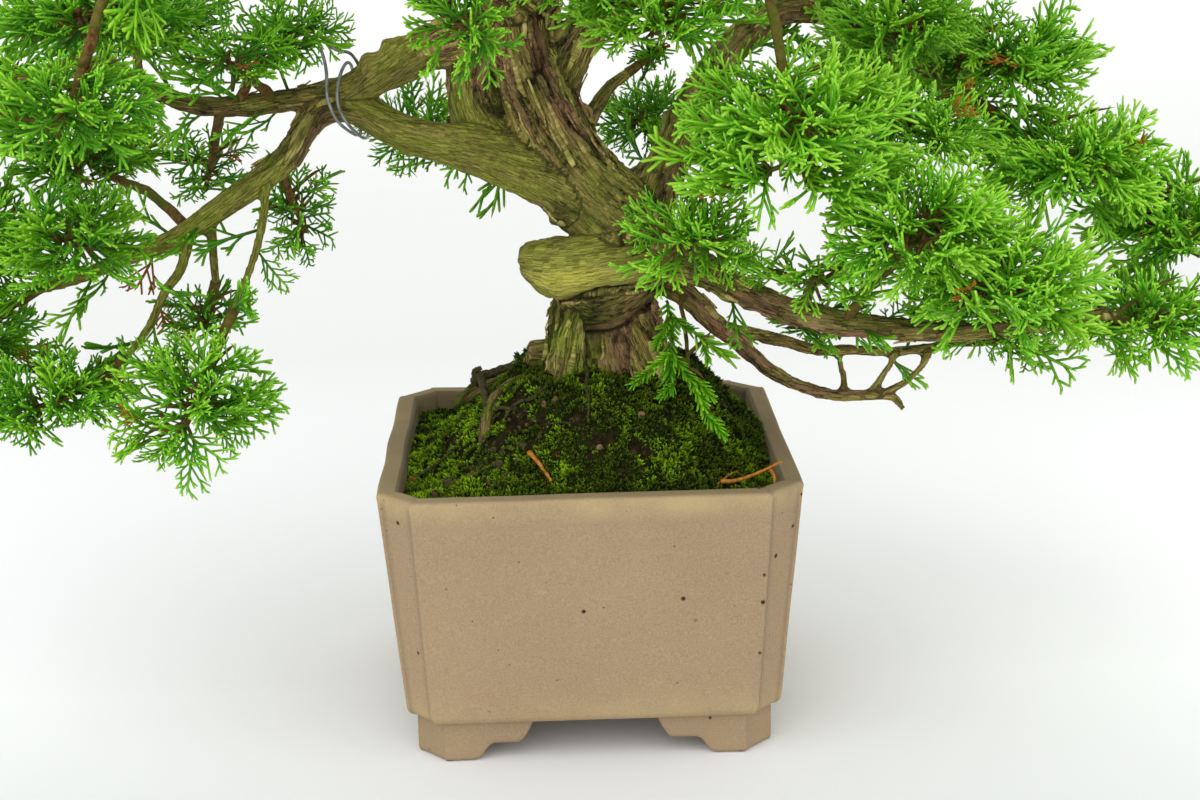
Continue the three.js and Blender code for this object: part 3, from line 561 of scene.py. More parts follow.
def bark_material():
    """Plated bark, russet or under algae, and smooth wood where it is bare."""
    s = Shader("bark", roughness=0.88, Specular_IOR_Level=0.2)
    grain = s.vector("grain")
    fine = s.noise(grain, 5.2, 5, 0.7)
    strips = s.noise(grain, 1.9, 4, 0.6)
    bare = s.value("bare")
    rugged = s.math("SUBTRACT", s.math("SUBTRACT", 1.0, bare), s.value("calm"), clamp=True)
    wander = s.add("TexNoise", {"Vector": grain, "Scale": 2.2, "Detail": 3.0}).outputs["Color"]
    longer = s.stretched(grain, (0.8, 0.8, 1.25))
    sway = {0: wander, 1: (1.2, 1.2, 0.9), 2: longer}
    warped = s.add("VectorMath", sway, operation="MULTIPLY_ADD").outputs[0]
    edge = s.cells(warped, 1.0, "DISTANCE_TO_EDGE")["Distance"]
    plate = s.cells(warped, 1.0)["Color"]

    wood = s.ramp(fine, [(0.25, (68, 64, 22)), (0.5, (188, 176, 92)), (0.75, (254, 238, 168))])
    russet = s.ramp(fine, [(0.3, (112, 72, 48)), (0.7, (222, 170, 134))])
    peeled = s.ramp(fine, [(0.3, (140, 100, 70)), (0.7, (232, 188, 152))])
    open_plates = s.times(s.ramp(s.channel(plate, 1), [(0.74, 0.0), (0.8, 0.75)]), rugged)
    colour = s.mix(open_plates, wood, peeled)
    colour = s.mix(s.value("red"), colour, russet)
    algae = s.ramp(fine, [(0.25, (46, 58, 8)), (0.5, (138, 158, 38)), (0.75, (218, 226, 96))])
    patches = s.ramp(s.noise(s.place(), 90, 4, 0.65), [(0.4, 0.1), (0.6, 1.0)])
    colour = s.mix(s.times(s.value("algae"), patches, clamp=True), colour, algae)
    shade = s.ramp(s.channel(plate, 0), [(0.0, (100, 100, 100)), (1.0, (160, 160, 160))])
    colour = s.mix(s.times(rugged, 0.8), colour, shade, blend="OVERLAY")

    smooth = s.ramp(fine, [(0.25, (78, 92, 16)), (0.5, (162, 172, 54)), (0.75, (222, 222, 104))])
    straw = s.ramp(fine, [(0.3, (126, 118, 42)), (0.7, (212, 200, 104))])
    smooth = s.mix(s.ramp(s.noise(grain, 0.7, 2), [(0.5, 0.0), (0.68, 0.8)]), smooth, straw)
    # Pale wood for the knob, also painted with a highlight across its middle
    pale = s.ramp(fine, [(0.25, (146, 150, 52)), (0.5, (226, 222, 110)), (0.75, (255, 250, 162))])
    smooth = s.mix(s.value("pale"), smooth, pale)
    fibres = s.noise(s.stretched(grain, (1.0, 1.0, 0.6)), 13, 3, 0.6)
    fibres = s.ramp(fibres, [(0.32, (46, 46, 46)), (0.5, (132, 132, 132)), (0.68, (204, 204, 204))])
    smooth = s.mix(0.8, smooth, fibres, blend="OVERLAY")
    colour = s.mix(bare, colour, smooth)

    dashed = s.stretched(grain, (1.3, 1.3, 3.6))
    pits = s.spots(dashed, 1.0, [(0.66, 0.0), (0.72, 0.85)], [(0.15, 1.0), (0.25, 0.0)])
    colour = s.mix(s.times(pits, bare), colour, rgb(34, 30, 10))
    # Grooves of the strips and the gaps between plates are darkened: partly the bark's dark fissures, partly
    # painted shade where the bumps sink
    furrow = s.ramp(strips, [(0.26, 0.85), (0.38, 0.0)])
    furrow = s.times(furrow, s.math("SUBTRACT", 1.0, s.times(bare, 0.6)))
    colour = s.mix(furrow, colour, rgb(24, 20, 7))
    gap = s.times(s.ramp(edge, [(0.008, 0.75), (0.045, 0.0)]), rugged)
    colour = s.mix(gap, colour, rgb(22, 16, 7))
    # Cracks, and painted shade in the bark's creases, hollows and joints, darken it almost to black
    colour = s.mix(s.times(s.value("cracks_and_shade"), 0.9), colour, rgb(20, 14, 6))
    raised = s.times(s.ramp(edge, [(0.0, 0.0), (0.1, 1.0)]), rugged)
    return s.finish(colour, bumps=[(raised, 0.8, 0.8), (strips, 0.8, 1.4), (fine, 0.9, 0.9)])


def leaf_material():
    s = Shader("leaf", roughness=0.6, Specular_IOR_Level=0.2)
    where = s.place()
    tone = s.value("tone")
    steps = (0.0, 0.4, 0.75, 1.0)
    cool = s.ramp(tone, list(zip(steps, [(28, 84, 12), (64, 146, 18), (104, 190, 24), (162, 226, 66)])))
    warm = s.ramp(tone, list(zip(steps, [(50, 98, 10), (92, 160, 14), (136, 202, 22), (190, 232, 76)])))
    colour = s.mix(s.value("hue"), cool, warm)
    colour = s.mix(s.value("dead"), colour, s.ramp(tone, [(0.0, (96, 54, 16)), (1.0, (190, 128, 34))]))
    scales = s.noise(where, 900, 2)
    light = s.ramp(scales, [(0.3, (84, 84, 84)), (0.7, (172, 172, 172))])
    colour = s.mix(0.35, colour, light, blend="OVERLAY")
    return s.finish(colour, bumps=[(scales, 0.5, 0.4)])


def twig_material():
    s = Shader("twig", roughness=0.85, Specular_IOR_Level=0.2)
    where = s.place()
    fine = s.noise(where, 520, 4)
    colour = s.ramp(fine, [(0.3, (66, 44, 22)), (0.55, (120, 86, 46)), (0.8, (150, 120, 70))])
    colour = s.mix(s.ramp(s.noise(where, 60, 3), [(0.4, 0.0), (0.65, 0.8)]), colour, rgb(86, 100, 26))
    return s.finish(colour, bumps=[(fine, 0.7, 0.5)])


def wire_material():
    s = Shader("wire", roughness=0.45, Metallic=0.6)
    where = s.place()
    tarnish = s.noise(where, 300, 3)
    colour = s.ramp(tarnish, [(0.3, (116, 117, 118)), (0.7, (176, 177, 176))])
    return s.finish(colour, roughness=s.ramp(tarnish, [(0.3, 0.6), (0.7, 0.35)]), bumps=[(tarnish, 0.2, 0.1)])


def screen_material():
    s = Shader("screen", roughness=0.6)
    grain = s.noise(s.place(), 900, 3)
    return s.finish(s.ramp(grain, [(0.3, (24, 27, 24)), (0.7, (38, 42, 38))]), bumps=[(grain, 0.3, 0.1)])


def litter_material():
    s = Shader("litter", roughness=0.85, Specular_IOR_Level=0.2)
    fine = s.noise(s.place(), 700, 3)
    straw = s.ramp(fine, [(0.3, (140, 78, 20)), (0.7, (212, 146, 62))])
    root = s.ramp(fine, [(0.3, (28, 28, 12)), (0.7, (82, 78, 42))])
    stone = s.ramp(fine, [(0.3, (82, 56, 34)), (0.7, (166, 134, 98))])
    kind = s.value("kind")
    colour = s.mix(s.ramp(kind, [(0.2, 0.0), (0.45, 1.0)]), straw, root)
    colour = s.mix(s.ramp(kind, [(0.75, 0.0), (0.95, 1.0)]), colour, stone)
    return s.finish(colour, bumps=[(fine, 0.5, 0.4)])


CLAY = clay_material()
SOIL = soil_material()
MOSS = moss_material()
BARK = bark_material()
LEAF = leaf_material()
TWIG = twig_material()
WIRE = wire_material()
LITTER = litter_material()


# The pot
def half_at(z):
    """Half the pot's width at a height."""
    return HALF_WIDTH - TAPER * (POT_HEIGHT - z) / (POT_HEIGHT - FEET)


def cut_at(z):
    """How much of each corner is cut off at a height."""
    return BOTTOM_CUT + (RIM_CUT - BOTTOM_CUT) * (z - FEET) / (POT_HEIGHT - FEET)


def quarter_turned(flat, turn):
    """Points in plan, turned by a number of right angles."""
    t = turn * math.pi / 2
    return flat @ np.array([[math.cos(t), math.sin(t)], [-math.sin(t), math.cos(t)]])


def corner_path(half, cut, recess, reach, wing):
    """The front right corner's outline, from the front's middle round to the side's."""
    a = half - cut
    points = [(a - reach * (1 - s), -half) for s in np.linspace(0, 1, wing)[:-1]]
    r = min(0.9, recess * 0.55)
    for turn in (90, 60, 30, 0):
        t = math.radians(turn)
        points.append((a - r + r * math.cos(t), -half + r - r * math.sin(t)))
    points.append((a, -half + recess - 0.35))
    points.append((a + 0.4, -half + recess + 0.25))
    left = np.array(points)
    right = -left[::-1, ::-1]
    panel = [left[-1] + (right[0] - left[-1]) * s for s in np.linspace(0, 1, 7)[1:-1]]
    return np.vstack([left, panel, right])


def pot_ring(half, cut, recess, z):
    """The pot's whole outline at a height, from four corners."""
    quarter = corner_path(half, cut, recess, half - cut, 11)[:-1]
    flat = np.vstack([quarter_turned(quarter, turn) for turn in range(4)])
    return np.column_stack([flat, np.full(len(flat), z)])


def arc(count):
    """Cosines and sines from 0 to 90 degrees."""
    t = np.radians(np.linspace(0, 90, count))
    return list(zip(np.cos(t), np.sin(t)))


def pot_wall():
    """The wall from its bottom edge up, over the rim and down inside, where it is worn, and where it is
    darker: painted shade inside and in the seams, and a darker rim top.
    """
    inner_cut = RIM_CUT - CUT_PER_INSET * WALL
    steps = []
    for c, s in arc(7):
        z = FEET + BOTTOM_ROUND * (1 - c)
        steps.append((half_at(z) - BOTTOM_ROUND * (1 - s), cut_at(z), PANEL_RECESS, z))
    steps += [(half_at(z), cut_at(z), PANEL_RECESS, z) for z in np.linspace(FEET + 7, POT_HEIGHT - 4, 15)]
    for c, s in arc(5):
        z = POT_HEIGHT - EDGE_ROUND * (1 - s)
        steps.append((HALF_WIDTH - EDGE_ROUND * (1 - c), RIM_CUT, PANEL_RECESS, z))
    for inset in (3.2, 5.0):
        steps.append((HALF_WIDTH - inset, RIM_CUT - CUT_PER_INSET * inset, 1.5, POT_HEIGHT))
    for c, s in arc(5):
        z = POT_HEIGHT - EDGE_ROUND * (1 - c)
        steps.append((HALF_WIDTH - WALL + EDGE_ROUND * (1 - s), inner_cut, INNER_RECESS, z))
    steps += [(half_at(z) - WALL, inner_cut, INNER_RECESS, z) for z in (101, 97, 93)]
    rings = [pot_ring(*step) for step in steps]
    points = np.vstack(rings)
    points += unit(points * [1, 1, 0]) * ((noise(points / 26 + 40, 3) - 0.5) * 0.9)[:, None]
    upper = clamped((points[:, 2] - 60) / 40)
    points[:, 2] += (noise(points / [34, 34, 60] + 9, 5) - 0.5) * 0.9 * upper
    n, m = len(rings), len(rings[0])
    z = points[:, 2]
    worn = clamped(1 - abs(z - 103) / 6) * 0.75 + clamped(1 - (z - FEET) / 16) * 0.4
    # The clay is darkened by painted shade inside below the rim and in the seams beside each corner's panel,
    # and is darker on the rim's top
    within = np.repeat(np.arange(n) > n - 8, m)
    quarter = m // 4
    seam = np.isin(np.arange(n * m) % m % quarter, (14, 15, quarter - 15, quarter - 14))
    grimy = clamped((z - POT_HEIGHT + 0.8) / 0.6) * 0.4 + within * 0.8 + seam * (z < 103) * 0.35
    return points, grid_quads(n, m), worn, clamped(grimy)


# How far in from the foot's face each line of its section lies, and how far over its lower outline.
# None is its top, inside the pot's bottom.
FOOT_SECTION = [
    (0, None), (0, 2.2), (0.25, 0.9), (0.9, 0.2), (2, 0), (FOOT_WALL - 2, 0), (FOOT_WALL - 0.4, 0.6),
    (FOOT_WALL, 2), (FOOT_WALL, None),
]


def foot_piece(turn):
    """One corner foot, with its bracket outline swept round the corner."""
    wing = FOOT_TOE + 2 * FOOT_CURVE + FOOT_LEDGE
    path = corner_path(half_at(FEET) - FOOT_INSET, FOOT_CUT, FOOT_RECESS, wing, 46)
    step = np.concatenate([[0], np.cumsum(np.linalg.norm(np.diff(path, axis=0), axis=1))])
    from_edge = wing - np.minimum(step, step[-1] - step)
    ledge = FOOT_TOE + FOOT_CURVE
    outline = [
        (0, 0), (FOOT_TOE - 1, 0), (FOOT_TOE, 0.4), (FOOT_TOE + 1.2, 1.6), (FOOT_TOE + 3.6, 5.3),
        (ledge, 6.2), (ledge + 1.5, FOOT_LEDGE_HEIGHT), (wing - FOOT_CURVE - 1, FOOT_LEDGE_HEIGHT + 0.1),
        (wing - FOOT_CURVE, 7.3), (wing - 3.4, 9.2), (wing - 1.6, 12), (wing - 0.4, 14.6), (wing, 16.4),
    ]
    under = np.interp(from_edge, *zip(*outline))
    for _ in range(3):
        under[1:-1] = 0.25 * under[:-2] + 0.5 * under[1:-1] + 0.25 * under[2:]
    along = unit(np.gradient(path, axis=0))
    inward = np.stack([-along[:, 1], along[:, 0]], 1)
    rings = []
    for inset, lift in FOOT_SECTION:
        z = np.full(len(path), FEET + 2.5) if lift is None else np.minimum(under + lift, FEET + 2.4)
        rings.append(np.column_stack([path + inward * inset, z]))
    points = np.stack(rings, 1).reshape(-1, 3)
    points[:, :2] = quarter_turned(points[:, :2], turn)
    points[:, :2] += unit(points[:, :2]) * ((noise(points / 14 + 70, 8) - 0.5) * 0.7)[:, None]
    return points, grid_quads(len(path), len(rings), closed=False), ()


def make_pot():
    """The wall, the bottom with its drain hole and the four feet, as one piece of clay."""
    points, quads, worn, grimy = pot_wall()
    ring = pot_ring(half_at(FEET) - BOTTOM_ROUND, BOTTOM_CUT, PANEL_RECESS, FEET)
    angle = np.arctan2(ring[:, 1], ring[:, 0])
    hole = np.column_stack([DRAIN_RADIUS * np.cos(angle), DRAIN_RADIUS * np.sin(angle), ring[:, 2]])
    bottom = np.vstack([ring, hole, hole + [0, 0, WALL]]), grid_quads(3, len(ring))[:, [1, 0, 3, 2]], ()
    count = len(points)
    points, quads, triangles = merged([(points, quads, ()), bottom] + [foot_piece(turn) for turn in range(4)])
    low = clamped(1 - points[count:, 2] / 9) * 0.2
    pot = mesh_object(
        "pot_clay", points, quads, triangles, [CLAY],
        # The bottom and the feet are a little darker all over
        worn=np.concatenate([worn, low]), grimy=np.concatenate([grimy, np.full(len(low), 0.16)]),
    )
    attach(pot, "root")
    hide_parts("pot")


# Soil and moss. Each mound has a middle, a size and a height.
MOUNDS = [(-42, -53, 9, 5.0), (-28, -58, 7, 2.5), (-48, -38, 6, 2.5), (36, -52, 12, 2.5)]


def on_ground(x, y):
    return np.column_stack([np.ravel(x), np.ravel(y), np.zeros(np.size(x))])


def soil_height(x, y):
    away = np.hypot(x - 6, y)
    share = clamped((away - SOIL_INNER) / (SOIL_OUTER - SOIL_INNER))
    heap = 1 - share * share * (3 - 2 * share)
    lumps = np.sin(x * 0.23 + 1) * np.cos(y * 0.27) + 0.6 * np.sin(x * 0.41 - y * 0.37)
    height = SOIL_EDGE + (SOIL_CROWN - SOIL_EDGE) * heap + 1.3 * lumps * (1 - share * share)
    spot = on_ground(x, y)
    for amount, size, shift, seed in ((3.2, 9, 20, 11), (1.5, 3.4, 50, 12)):
        height = height + amount * (noise(spot / size + shift, seed).reshape(np.shape(x)) - 0.5)
    for cx, cy, size, rise in MOUNDS:
        height = height + rise * bump(x, y, (cx, cy), (size, size))
    return height - 5.5 * bump(x, y, (-33, 6), (15, 22))


def moss_share(x, y):
    """How thick the moss grows over a point, from 0 to 1."""
    spot = on_ground(x, y)
    patches = noise(spot / 13 + 5, 21) * 0.55 + noise(spot / 4 + 5, 22) * 0.45
    bare = np.exp(-((spot[:, 0] + 36) ** 2 / 300 + (spot[:, 1] + 36) ** 2 / 160))
    bare = np.maximum(bare, 0.5 * np.exp(-((spot[:, 0] + 14) ** 2 / 260 + (spot[:, 1] + 48) ** 2 / 120)))
    return clamped((patches - 0.2 - 0.28 * bare) * 5).reshape(np.shape(x))


def inside_pot(x, y, margin=0.0):
    inner = half_at(100) - WALL + margin
    cut = 2 * inner - (RIM_CUT - CUT_PER_INSET * WALL) - 1.5
    return (np.abs(x) < inner) & (np.abs(y) < inner) & (np.abs(x) + np.abs(y) < cut)


def make_soil():
    """The soil's surface, which ends inside the pot's wall."""
    cells = 132
    line = np.linspace(-71, 71, cells)
    x, y = np.meshgrid(line, line, indexing="ij")
    keep = inside_pot(x, y, 1.6)
    height = soil_height(x, y)
    index = np.arange(cells * cells).reshape(cells, cells)
    a, b, c, d = index[:-1, :-1], index[1:, :-1], index[1:, 1:], index[:-1, 1:]
    good = keep[:-1, :-1] & keep[1:, :-1] & keep[1:, 1:] & keep[:-1, 1:]
    quads = np.stack([a[good], b[good], c[good], d[good]], -1)
    used, quads = np.unique(quads, return_inverse=True)
    points = np.column_stack([x.ravel(), y.ravel(), height.ravel()])[used]
    mossy = moss_share(points[:, 0], points[:, 1])
    soil = mesh_object("soil_bed", points, quads.reshape(-1, 4), (), [SOIL], mossy=mossy)
    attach(soil, "root")
    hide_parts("soil")


def tufts(spots, up, size, rng, blades):
    """Small leaf triangles in stars round each spot."""
    count = len(spots)
    turn = rng.uniform(0, 2 * math.pi, (count, blades)) + np.arange(blades) * 2.4
    lean = rng.uniform(0.15, 0.95, (count, blades))
    length = size[:, None] * rng.uniform(0.7, 1.25, (count, blades))
    side = unit(np.cross(up, [0.31, 0.77, 0.2]))
    fore = np.cross(up, side)
    out = np.cos(turn)[..., None] * side[:, None] + np.sin(turn)[..., None] * fore[:, None]
    along = unit(out * np.sin(lean)[..., None] + up[:, None] * np.cos(lean)[..., None])
    across = np.cross(along, out + up[:, None] * 0.5)
    across = unit(across) * (length * 0.2)[..., None]
    base = spots[:, None] + out * 0.25
    tip = base + along * length[..., None]
    middle = base + along * (length * 0.45)[..., None]
    points = np.stack([base, middle - across, middle + across, tip], 2).reshape(-1, 3)
    first = np.arange(count * blades)[:, None] * 4
    quads = first + np.array([0, 1, 3, 2])
    tips = np.tile([0.0, 0.45, 0.45, 1.0], count * blades)
    return points, quads, tips


def make_moss():
    """Tufts of moss, thicker where the moss grows well and towards the front."""
    rng = np.random.default_rng(7)
    tries = 40000
    x, y = rng.uniform(-70, 70, (2, tries))
    keep = inside_pot(x, y, -0.6) & (rng.uniform(0, 1, tries) < 0.12 + 0.88 * moss_share(x, y))
    keep &= (np.hypot(x - 8, y) > 15) & (rng.uniform(0, 1, tries) < np.clip(0.62 - y / 110, 0.25, 1))
    x, y = x[keep][:MOSS_TUFTS], y[keep][:MOSS_TUFTS]
    z = soil_height(x, y)
    slope_x = soil_height(x + 0.5, y) - soil_height(x - 0.5, y)
    slope_y = soil_height(x, y + 0.5) - soil_height(x, y - 0.5)
    up = unit(np.column_stack([-slope_x, -slope_y, np.ones(len(x))]))
    spots = np.column_stack([x, y, z])
    clump = np.hypot(x + 40, y + 43) < 8
    size = np.where(clump, 1.2, 1.8) * rng.uniform(0.6, 1.4, len(x))
    points, quads, tips = tufts(spots, up, size, rng, MOSS_BLADES)
    broad = noise(spots / 11 + 3, 31) * 0.55 + noise(spots / 2.5 + 3, 32) * 0.45
    hue = (broad - 0.42) * 3.4 + 0.35 * clamped((-x - 25) / 30) - 0.2 * clamped((x - 15) / 30)
    hue = clamped(hue - 0.5 * clamped(1.3 - np.hypot(x - 2, y) / 42))
    hue = np.repeat(hue, MOSS_BLADES * 4)
    moss = mesh_object("moss_leaves", points, quads, (), [MOSS], tip=tips, hue=hue)
    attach(moss, "root")


def ground(x, y, lift=0.8):
    """A place a little above the soil."""
    return x, y, float(soil_height(np.array([x]), np.array([y]))[0]) + lift


def pebble_form():
    """The corners and triangles of a ball."""
    shape = bmesh.new()
    bmesh.ops.create_icosphere(shape, subdivisions=2, radius=1)
    corners = np.array([v.co for v in shape.verts])
    faces = np.array([[v.index for v in f.verts] for f in shape.faces])
    shape.free()
    return corners, faces


# What the litter is, as its material reads it. Stones go from 0.3, as dark as a root, to 0.9, pale.
SHOOT, ROOT = 0, 0.5
# Thin surface roots with random bends, by where they start
ROOTLETS = [(-60, 8), (-50, -2), (-34, -26), (-6, -46), (24, -40), (60, -20)]
# Larger stones: place, size and kind
STONES = [
    (20, -43, 1.5, 0.9), (4, -53, 1.2, 0.9), (-68, -24, 1.8, 0.3), (-66, -30, 2.2, 0.4),
    (-52, -42, 2.6, 0.6), (-46, -46, 2.0, 0.5), (-33, -47, 2.2, 0.7), (-30, -52, 1.8, 0.6),
    (-57, -50, 2.2, 0.6), (-24, -46, 1.5, 0.7), (62, -50, 1.4, 0.8), (-16, -37, 1.3, 0.86),
]


def make_litter():
    """Dead shoots, pebbles, crumbs and thin roots on the soil."""
    rng = np.random.default_rng(17)
    parts, kinds = [], []

    def add(made, kind):
        parts.append(made)
        kinds.append(np.full(len(made[0]), float(kind)))

    def stick(points, radius, kind):
        t = np.linspace(0, 1, 14)
        thick = radius * (1 - 0.45 * t) * (1 + 0.2 * np.sin(40 * t))
        add(tube(catmull(points, t), thick, 6), kind)

    stick([ground(-22, -50, 2.2), ground(-19, -54, 2.4), ground(-14, -61, 2)], 1.0, SHOOT)
    fallen = [(48, -58, 104.5), (53, -58, 104.6), (58, -58, 106), (64, -58, 108.4), (70.5, -57, 111.4)]
    stick(fallen, 0.9, SHOOT)
    stick([(66, -58, 108.6), (67.4, -58.5, 106), (67.6, -59.5, 103.6)], 0.8, SHOOT)
    stick([(46, -57, 102.4), (50, -55, 105), (54, -53, 106.4), (57, -52, 104)], 0.4, 0.3)
    for x, y in ROOTLETS:
        turn = rng.uniform(0, 6.28)
        bends = [(5 * k, turn + 0.3 * k) for k in range(3)]
        stick([ground(x + r * math.cos(a), y + r * math.sin(a), 1.6) for r, a in bends], 0.45, ROOT)
    down = [(0, -24, 2.4), (0.6, -29, 2.4), (-0.2, -35, 2.2), (0.6, -41, 2), (0, -46, 0)]
    stick([ground(*place) for place in down], 0.9, ROOT)
    stick([ground(-16, -30, 1), (-20, -33, 131), (-27, -34, 129), ground(-33, -32, 0)], 0.8, ROOT)
    over = [(-33, -26, 125.5), (-28, -29, 126), (-23, -31, 127.5)]
    stick([ground(-36, -22, 1), *over, ground(-18, -29, 0)], 0.9, ROOT)
    stick([(-43, 2, 128), (-40, 1, 131), (-36, 2, 131.6), (-31, 2, 133.6), (-24, 1, 134)], 2.3, 0.45)
    stick([(-42, 3, 129), (-42.5, 2, 132.6), (-40, 2, 134)], 1.8, 0.45)
    stick([(-40, 0, 130.6), (-39.5, -9, 130), (-38.5, -16, 128.6), (-38, -24, 123)], 1.9, 0.45)
    left = [(-68, -30, 1.4), (-60, -27, 2.2), (-52, -24, 2.2), (-45, -20, 1.6)]
    stick([ground(*place) for place in left], 0.8, ROOT)
    corners, faces = pebble_form()
    crumbs = []
    for _ in range(PEBBLES):
        crumbs.append((rng.normal(-38, 16), rng.normal(-42, 9), rng.uniform(0.5, 1.4), rng.uniform(0.4, 0.9)))
    for x, y, size, kind in STONES + crumbs:
        if inside_pot(np.array([x]), np.array([y]), -size)[0]:
            lumps = 1 + 0.45 * (noise(corners * 1.4 + rng.uniform(0, 50, 3), 61) - 0.5)
            body = corners * lumps[:, None] * size * rng.uniform(0.75, 1.15, 3) + ground(x, y, size * 0.35)
            add((body, (), faces), kind)
    points, quads, triangles = merged(parts)
    litter = mesh_object("soil_litter", points, quads, triangles, [LITTER], kind=np.concatenate(kinds))
    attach(litter, "root")


# The wood
def swell_of(t, sides, thick):
    """Flutes and small lumps round a branch, as a factor for each ring and angle."""
    angle = turns(sides)[None]
    s = np.asarray(t)[:, None]
    flute = 0.07 if thick > 12 else 0.045 if thick > 7 else 0.02
    waves = np.cos(3 * angle + 9 * s) + 0.6 * np.cos(5 * angle - 7 * s) + 0.4 * np.cos(2 * angle + 23 * s)
    return 1 + flute * waves


def remeshed(points, quads, triangles, voxel):
    """One skin round overlapping tubes, in millimetres."""
    rough = mesh_object("rough", points, quads, triangles, scale=1)
    skin = rough.modifiers.new("skin", "REMESH")
    skin.mode = "VOXEL"
    skin.voxel_size = voxel
    graph = bpy.context.evaluated_depsgraph_get()
    mesh = bpy.data.meshes.new_from_object(rough.evaluated_get(graph))
    count = len(mesh.vertices)
    points = np.empty(count * 3)
    mesh.vertices.foreach_get("co", points)
    faces = np.empty(len(mesh.loops), int)
    mesh.loops.foreach_get("vertex_index", faces)
    bpy.data.objects.remove(rough)
    bpy.data.meshes.remove(mesh)
    return points.reshape(-1, 3), faces.reshape(-1, 4)


def relaxed(points, quads, rounds):
    """Points moved halfway to the middle of their neighbours, as often as rounds says."""
    for _ in range(rounds):
        total = np.zeros_like(points)
        count = np.zeros(len(points))
        for k in range(4):
            a, b = quads[:, k], quads[:, (k + 1) % 4]
            np.add.at(total, a, points[b])
            np.add.at(total, b, points[a])
            np.add.at(count, a, 1)
            np.add.at(count, b, 1)
        points = points * 0.5 + total / count[:, None] * 0.5
    return points


def normals_of(points, quads):
    face = np.cross(points[quads[:, 2]] - points[quads[:, 0]], points[quads[:, 3]] - points[quads[:, 1]])
    total = np.zeros_like(points)
    for k in range(4):
        np.add.at(total, quads[:, k], face)
    return unit(total)


# Heights where the trunk's bark changes: the mossy foot's top, the base's, the front's, and the neck
FOOT_TOP, BASE_TOP, FRONT_TOP, NECK = 137, 166, 172, 199
# The bark folds over the base's front above a line that sags to this x and z
FOLD_X, FOLD_Z = 3, 152
# The trunk is russet on its right between these heights
RUSSET_FROM, RUSSET_TO = 178, 262
# What a row of a branch's middle line holds
PLACE, RADIUS, RUN, NORMAL, BINORMAL, BRANCH = slice(0, 3), 3, 4, slice(5, 8), slice(8, 11), 11


def hills(points, spots):
    """Round hills at some places: each has a place, a height and a width."""
    relief = np.zeros(len(points))
    for place, height, width in spots:
        relief += height * np.exp(-((points - place) ** 2).sum(1) / (2 * width * width))
    return relief


def burrs(lines):
    """Small swellings and the stumps of shed twigs, scattered along the branches."""
    rng = np.random.default_rng(23)
    found = []
    for row in lines[rng.choice(len(lines), BURRS, replace=False)]:
        turn = rng.uniform(0, 2 * math.pi)
        out = row[NORMAL] * math.cos(turn) + row[BINORMAL] * math.sin(turn)
        height, width = rng.uniform(0.08, 0.26), rng.uniform(0.16, 0.3)
        thick = min(row[RADIUS], 9)
        found.append((row[PLACE] + out * row[RADIUS], height * thick, width * thick))
    return found


# Burls on the limb by the wire and on the trunk: about where, how high and how wide
BURLS = [
    ((-83, -6, 262), 2.6, 2.2), ((-76, -6, 268), 2.8, 2.0), ((-70, -6, 270), 1.4, 3.0),
    ((19.5, -24, 152), 1.2, 1.4), ((-10, -22, 166), 1.6, 2.6),
]


def on_skin(points, spots):
    """The same spots, each moved to the nearest point of the skin."""
    return [(points[np.argmin(((points - at) ** 2).sum(1))], *rest) for at, *rest in spots]


def make_flakes(points, normal, tangent, chance, reach, looks):
    """Strips of bark that peel off the wood along its grain, each lifted at one end."""
    rng = np.random.default_rng(61)
    tree = kdtree.KDTree(len(points))
    for number, point in enumerate(points):
        tree.insert(point, number)
    tree.balance()
    rows, columns = 6, 4
    ends = [[3, 2, 1, 0], [20, 21, 22, 23]]
    faces = np.vstack([grid_quads(rows, columns), ends])
    parts, owners = [], []
    for first in rng.choice(len(points), FLAKES, replace=False, p=chance / chance.sum()):
        long, wide = min(rng.uniform(5, 19), reach[first]), rng.uniform(1.2, 3.6)
        along = tangent[first] * rng.choice((-1, 1))
        corners = []
        for share in np.linspace(0, 1, rows):
            aim = points[first] + along * long * (share - 0.5)
            near = tree.find(aim)[1]
            up = normal[near]
            lift = 0.1 + rng.uniform(0, 0.25) + (1.1 if first % 2 else 0.5) * share**3
            centre = aim + up * (np.dot(points[near] - aim, up) + lift)
            taper = 0.3 + 0.7 * math.sin(math.pi * (0.15 + 0.72 * share))
            across = unit(np.cross(up, along)) * wide * taper
            across *= rng.uniform(0.75, 1.2)
            for aside, rise in ((-0.5, -0.3), (-0.3, 0.22), (0.28, 0.3), (0.5, -0.25)):
                corners.append(centre + across * aside + up * rise)
            owners += [near] * columns
        parts.append((np.array(corners), faces, ()))
    strips, quads, triangles = merged(parts)
    own = {name: values[owners] for name, values in looks.items()}
    value = np.repeat(rng.uniform(0, 1, FLAKES), rows * columns)
    for name, amount in (("bare", 0.0), ("cracks_and_shade", 0.0), ("calm", 0.7)):
        own[name] = np.full(len(strips), amount)
    own["red"] = clamped(own["red"] * 0.8 + 0.3 * (value > 0.7))
    own["grain"] = own["grain"] + (value * 9)[:, None]
    flakes = mesh_object("bark_flakes", strips, quads, triangles, [BARK], **own)
    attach(flakes, "root")


def wood_tubes():
    """A tube for each branch and root, and the rows of their middle lines."""
    parts, lines = [], []
    for number, waypoints in enumerate([*WOOD.values(), *ROOTS]):
        thick = max(p[3] for p in waypoints)
        t, run = even_shares(waypoints, 2.5)
        path = catmull(waypoints, t)
        radii = radius_at(waypoints, t)
        sides = 30 if thick > 12 else 20 if thick > 7 else 12
        parts.append(tube(path, radii, sides, swell_of(t, sides, thick)))
        _, normal, binormal = side_frames(path)
        lines.append(np.column_stack([path, radii, run, normal, binormal, np.full(len(path), number)]))
    return parts, np.vstack(lines)


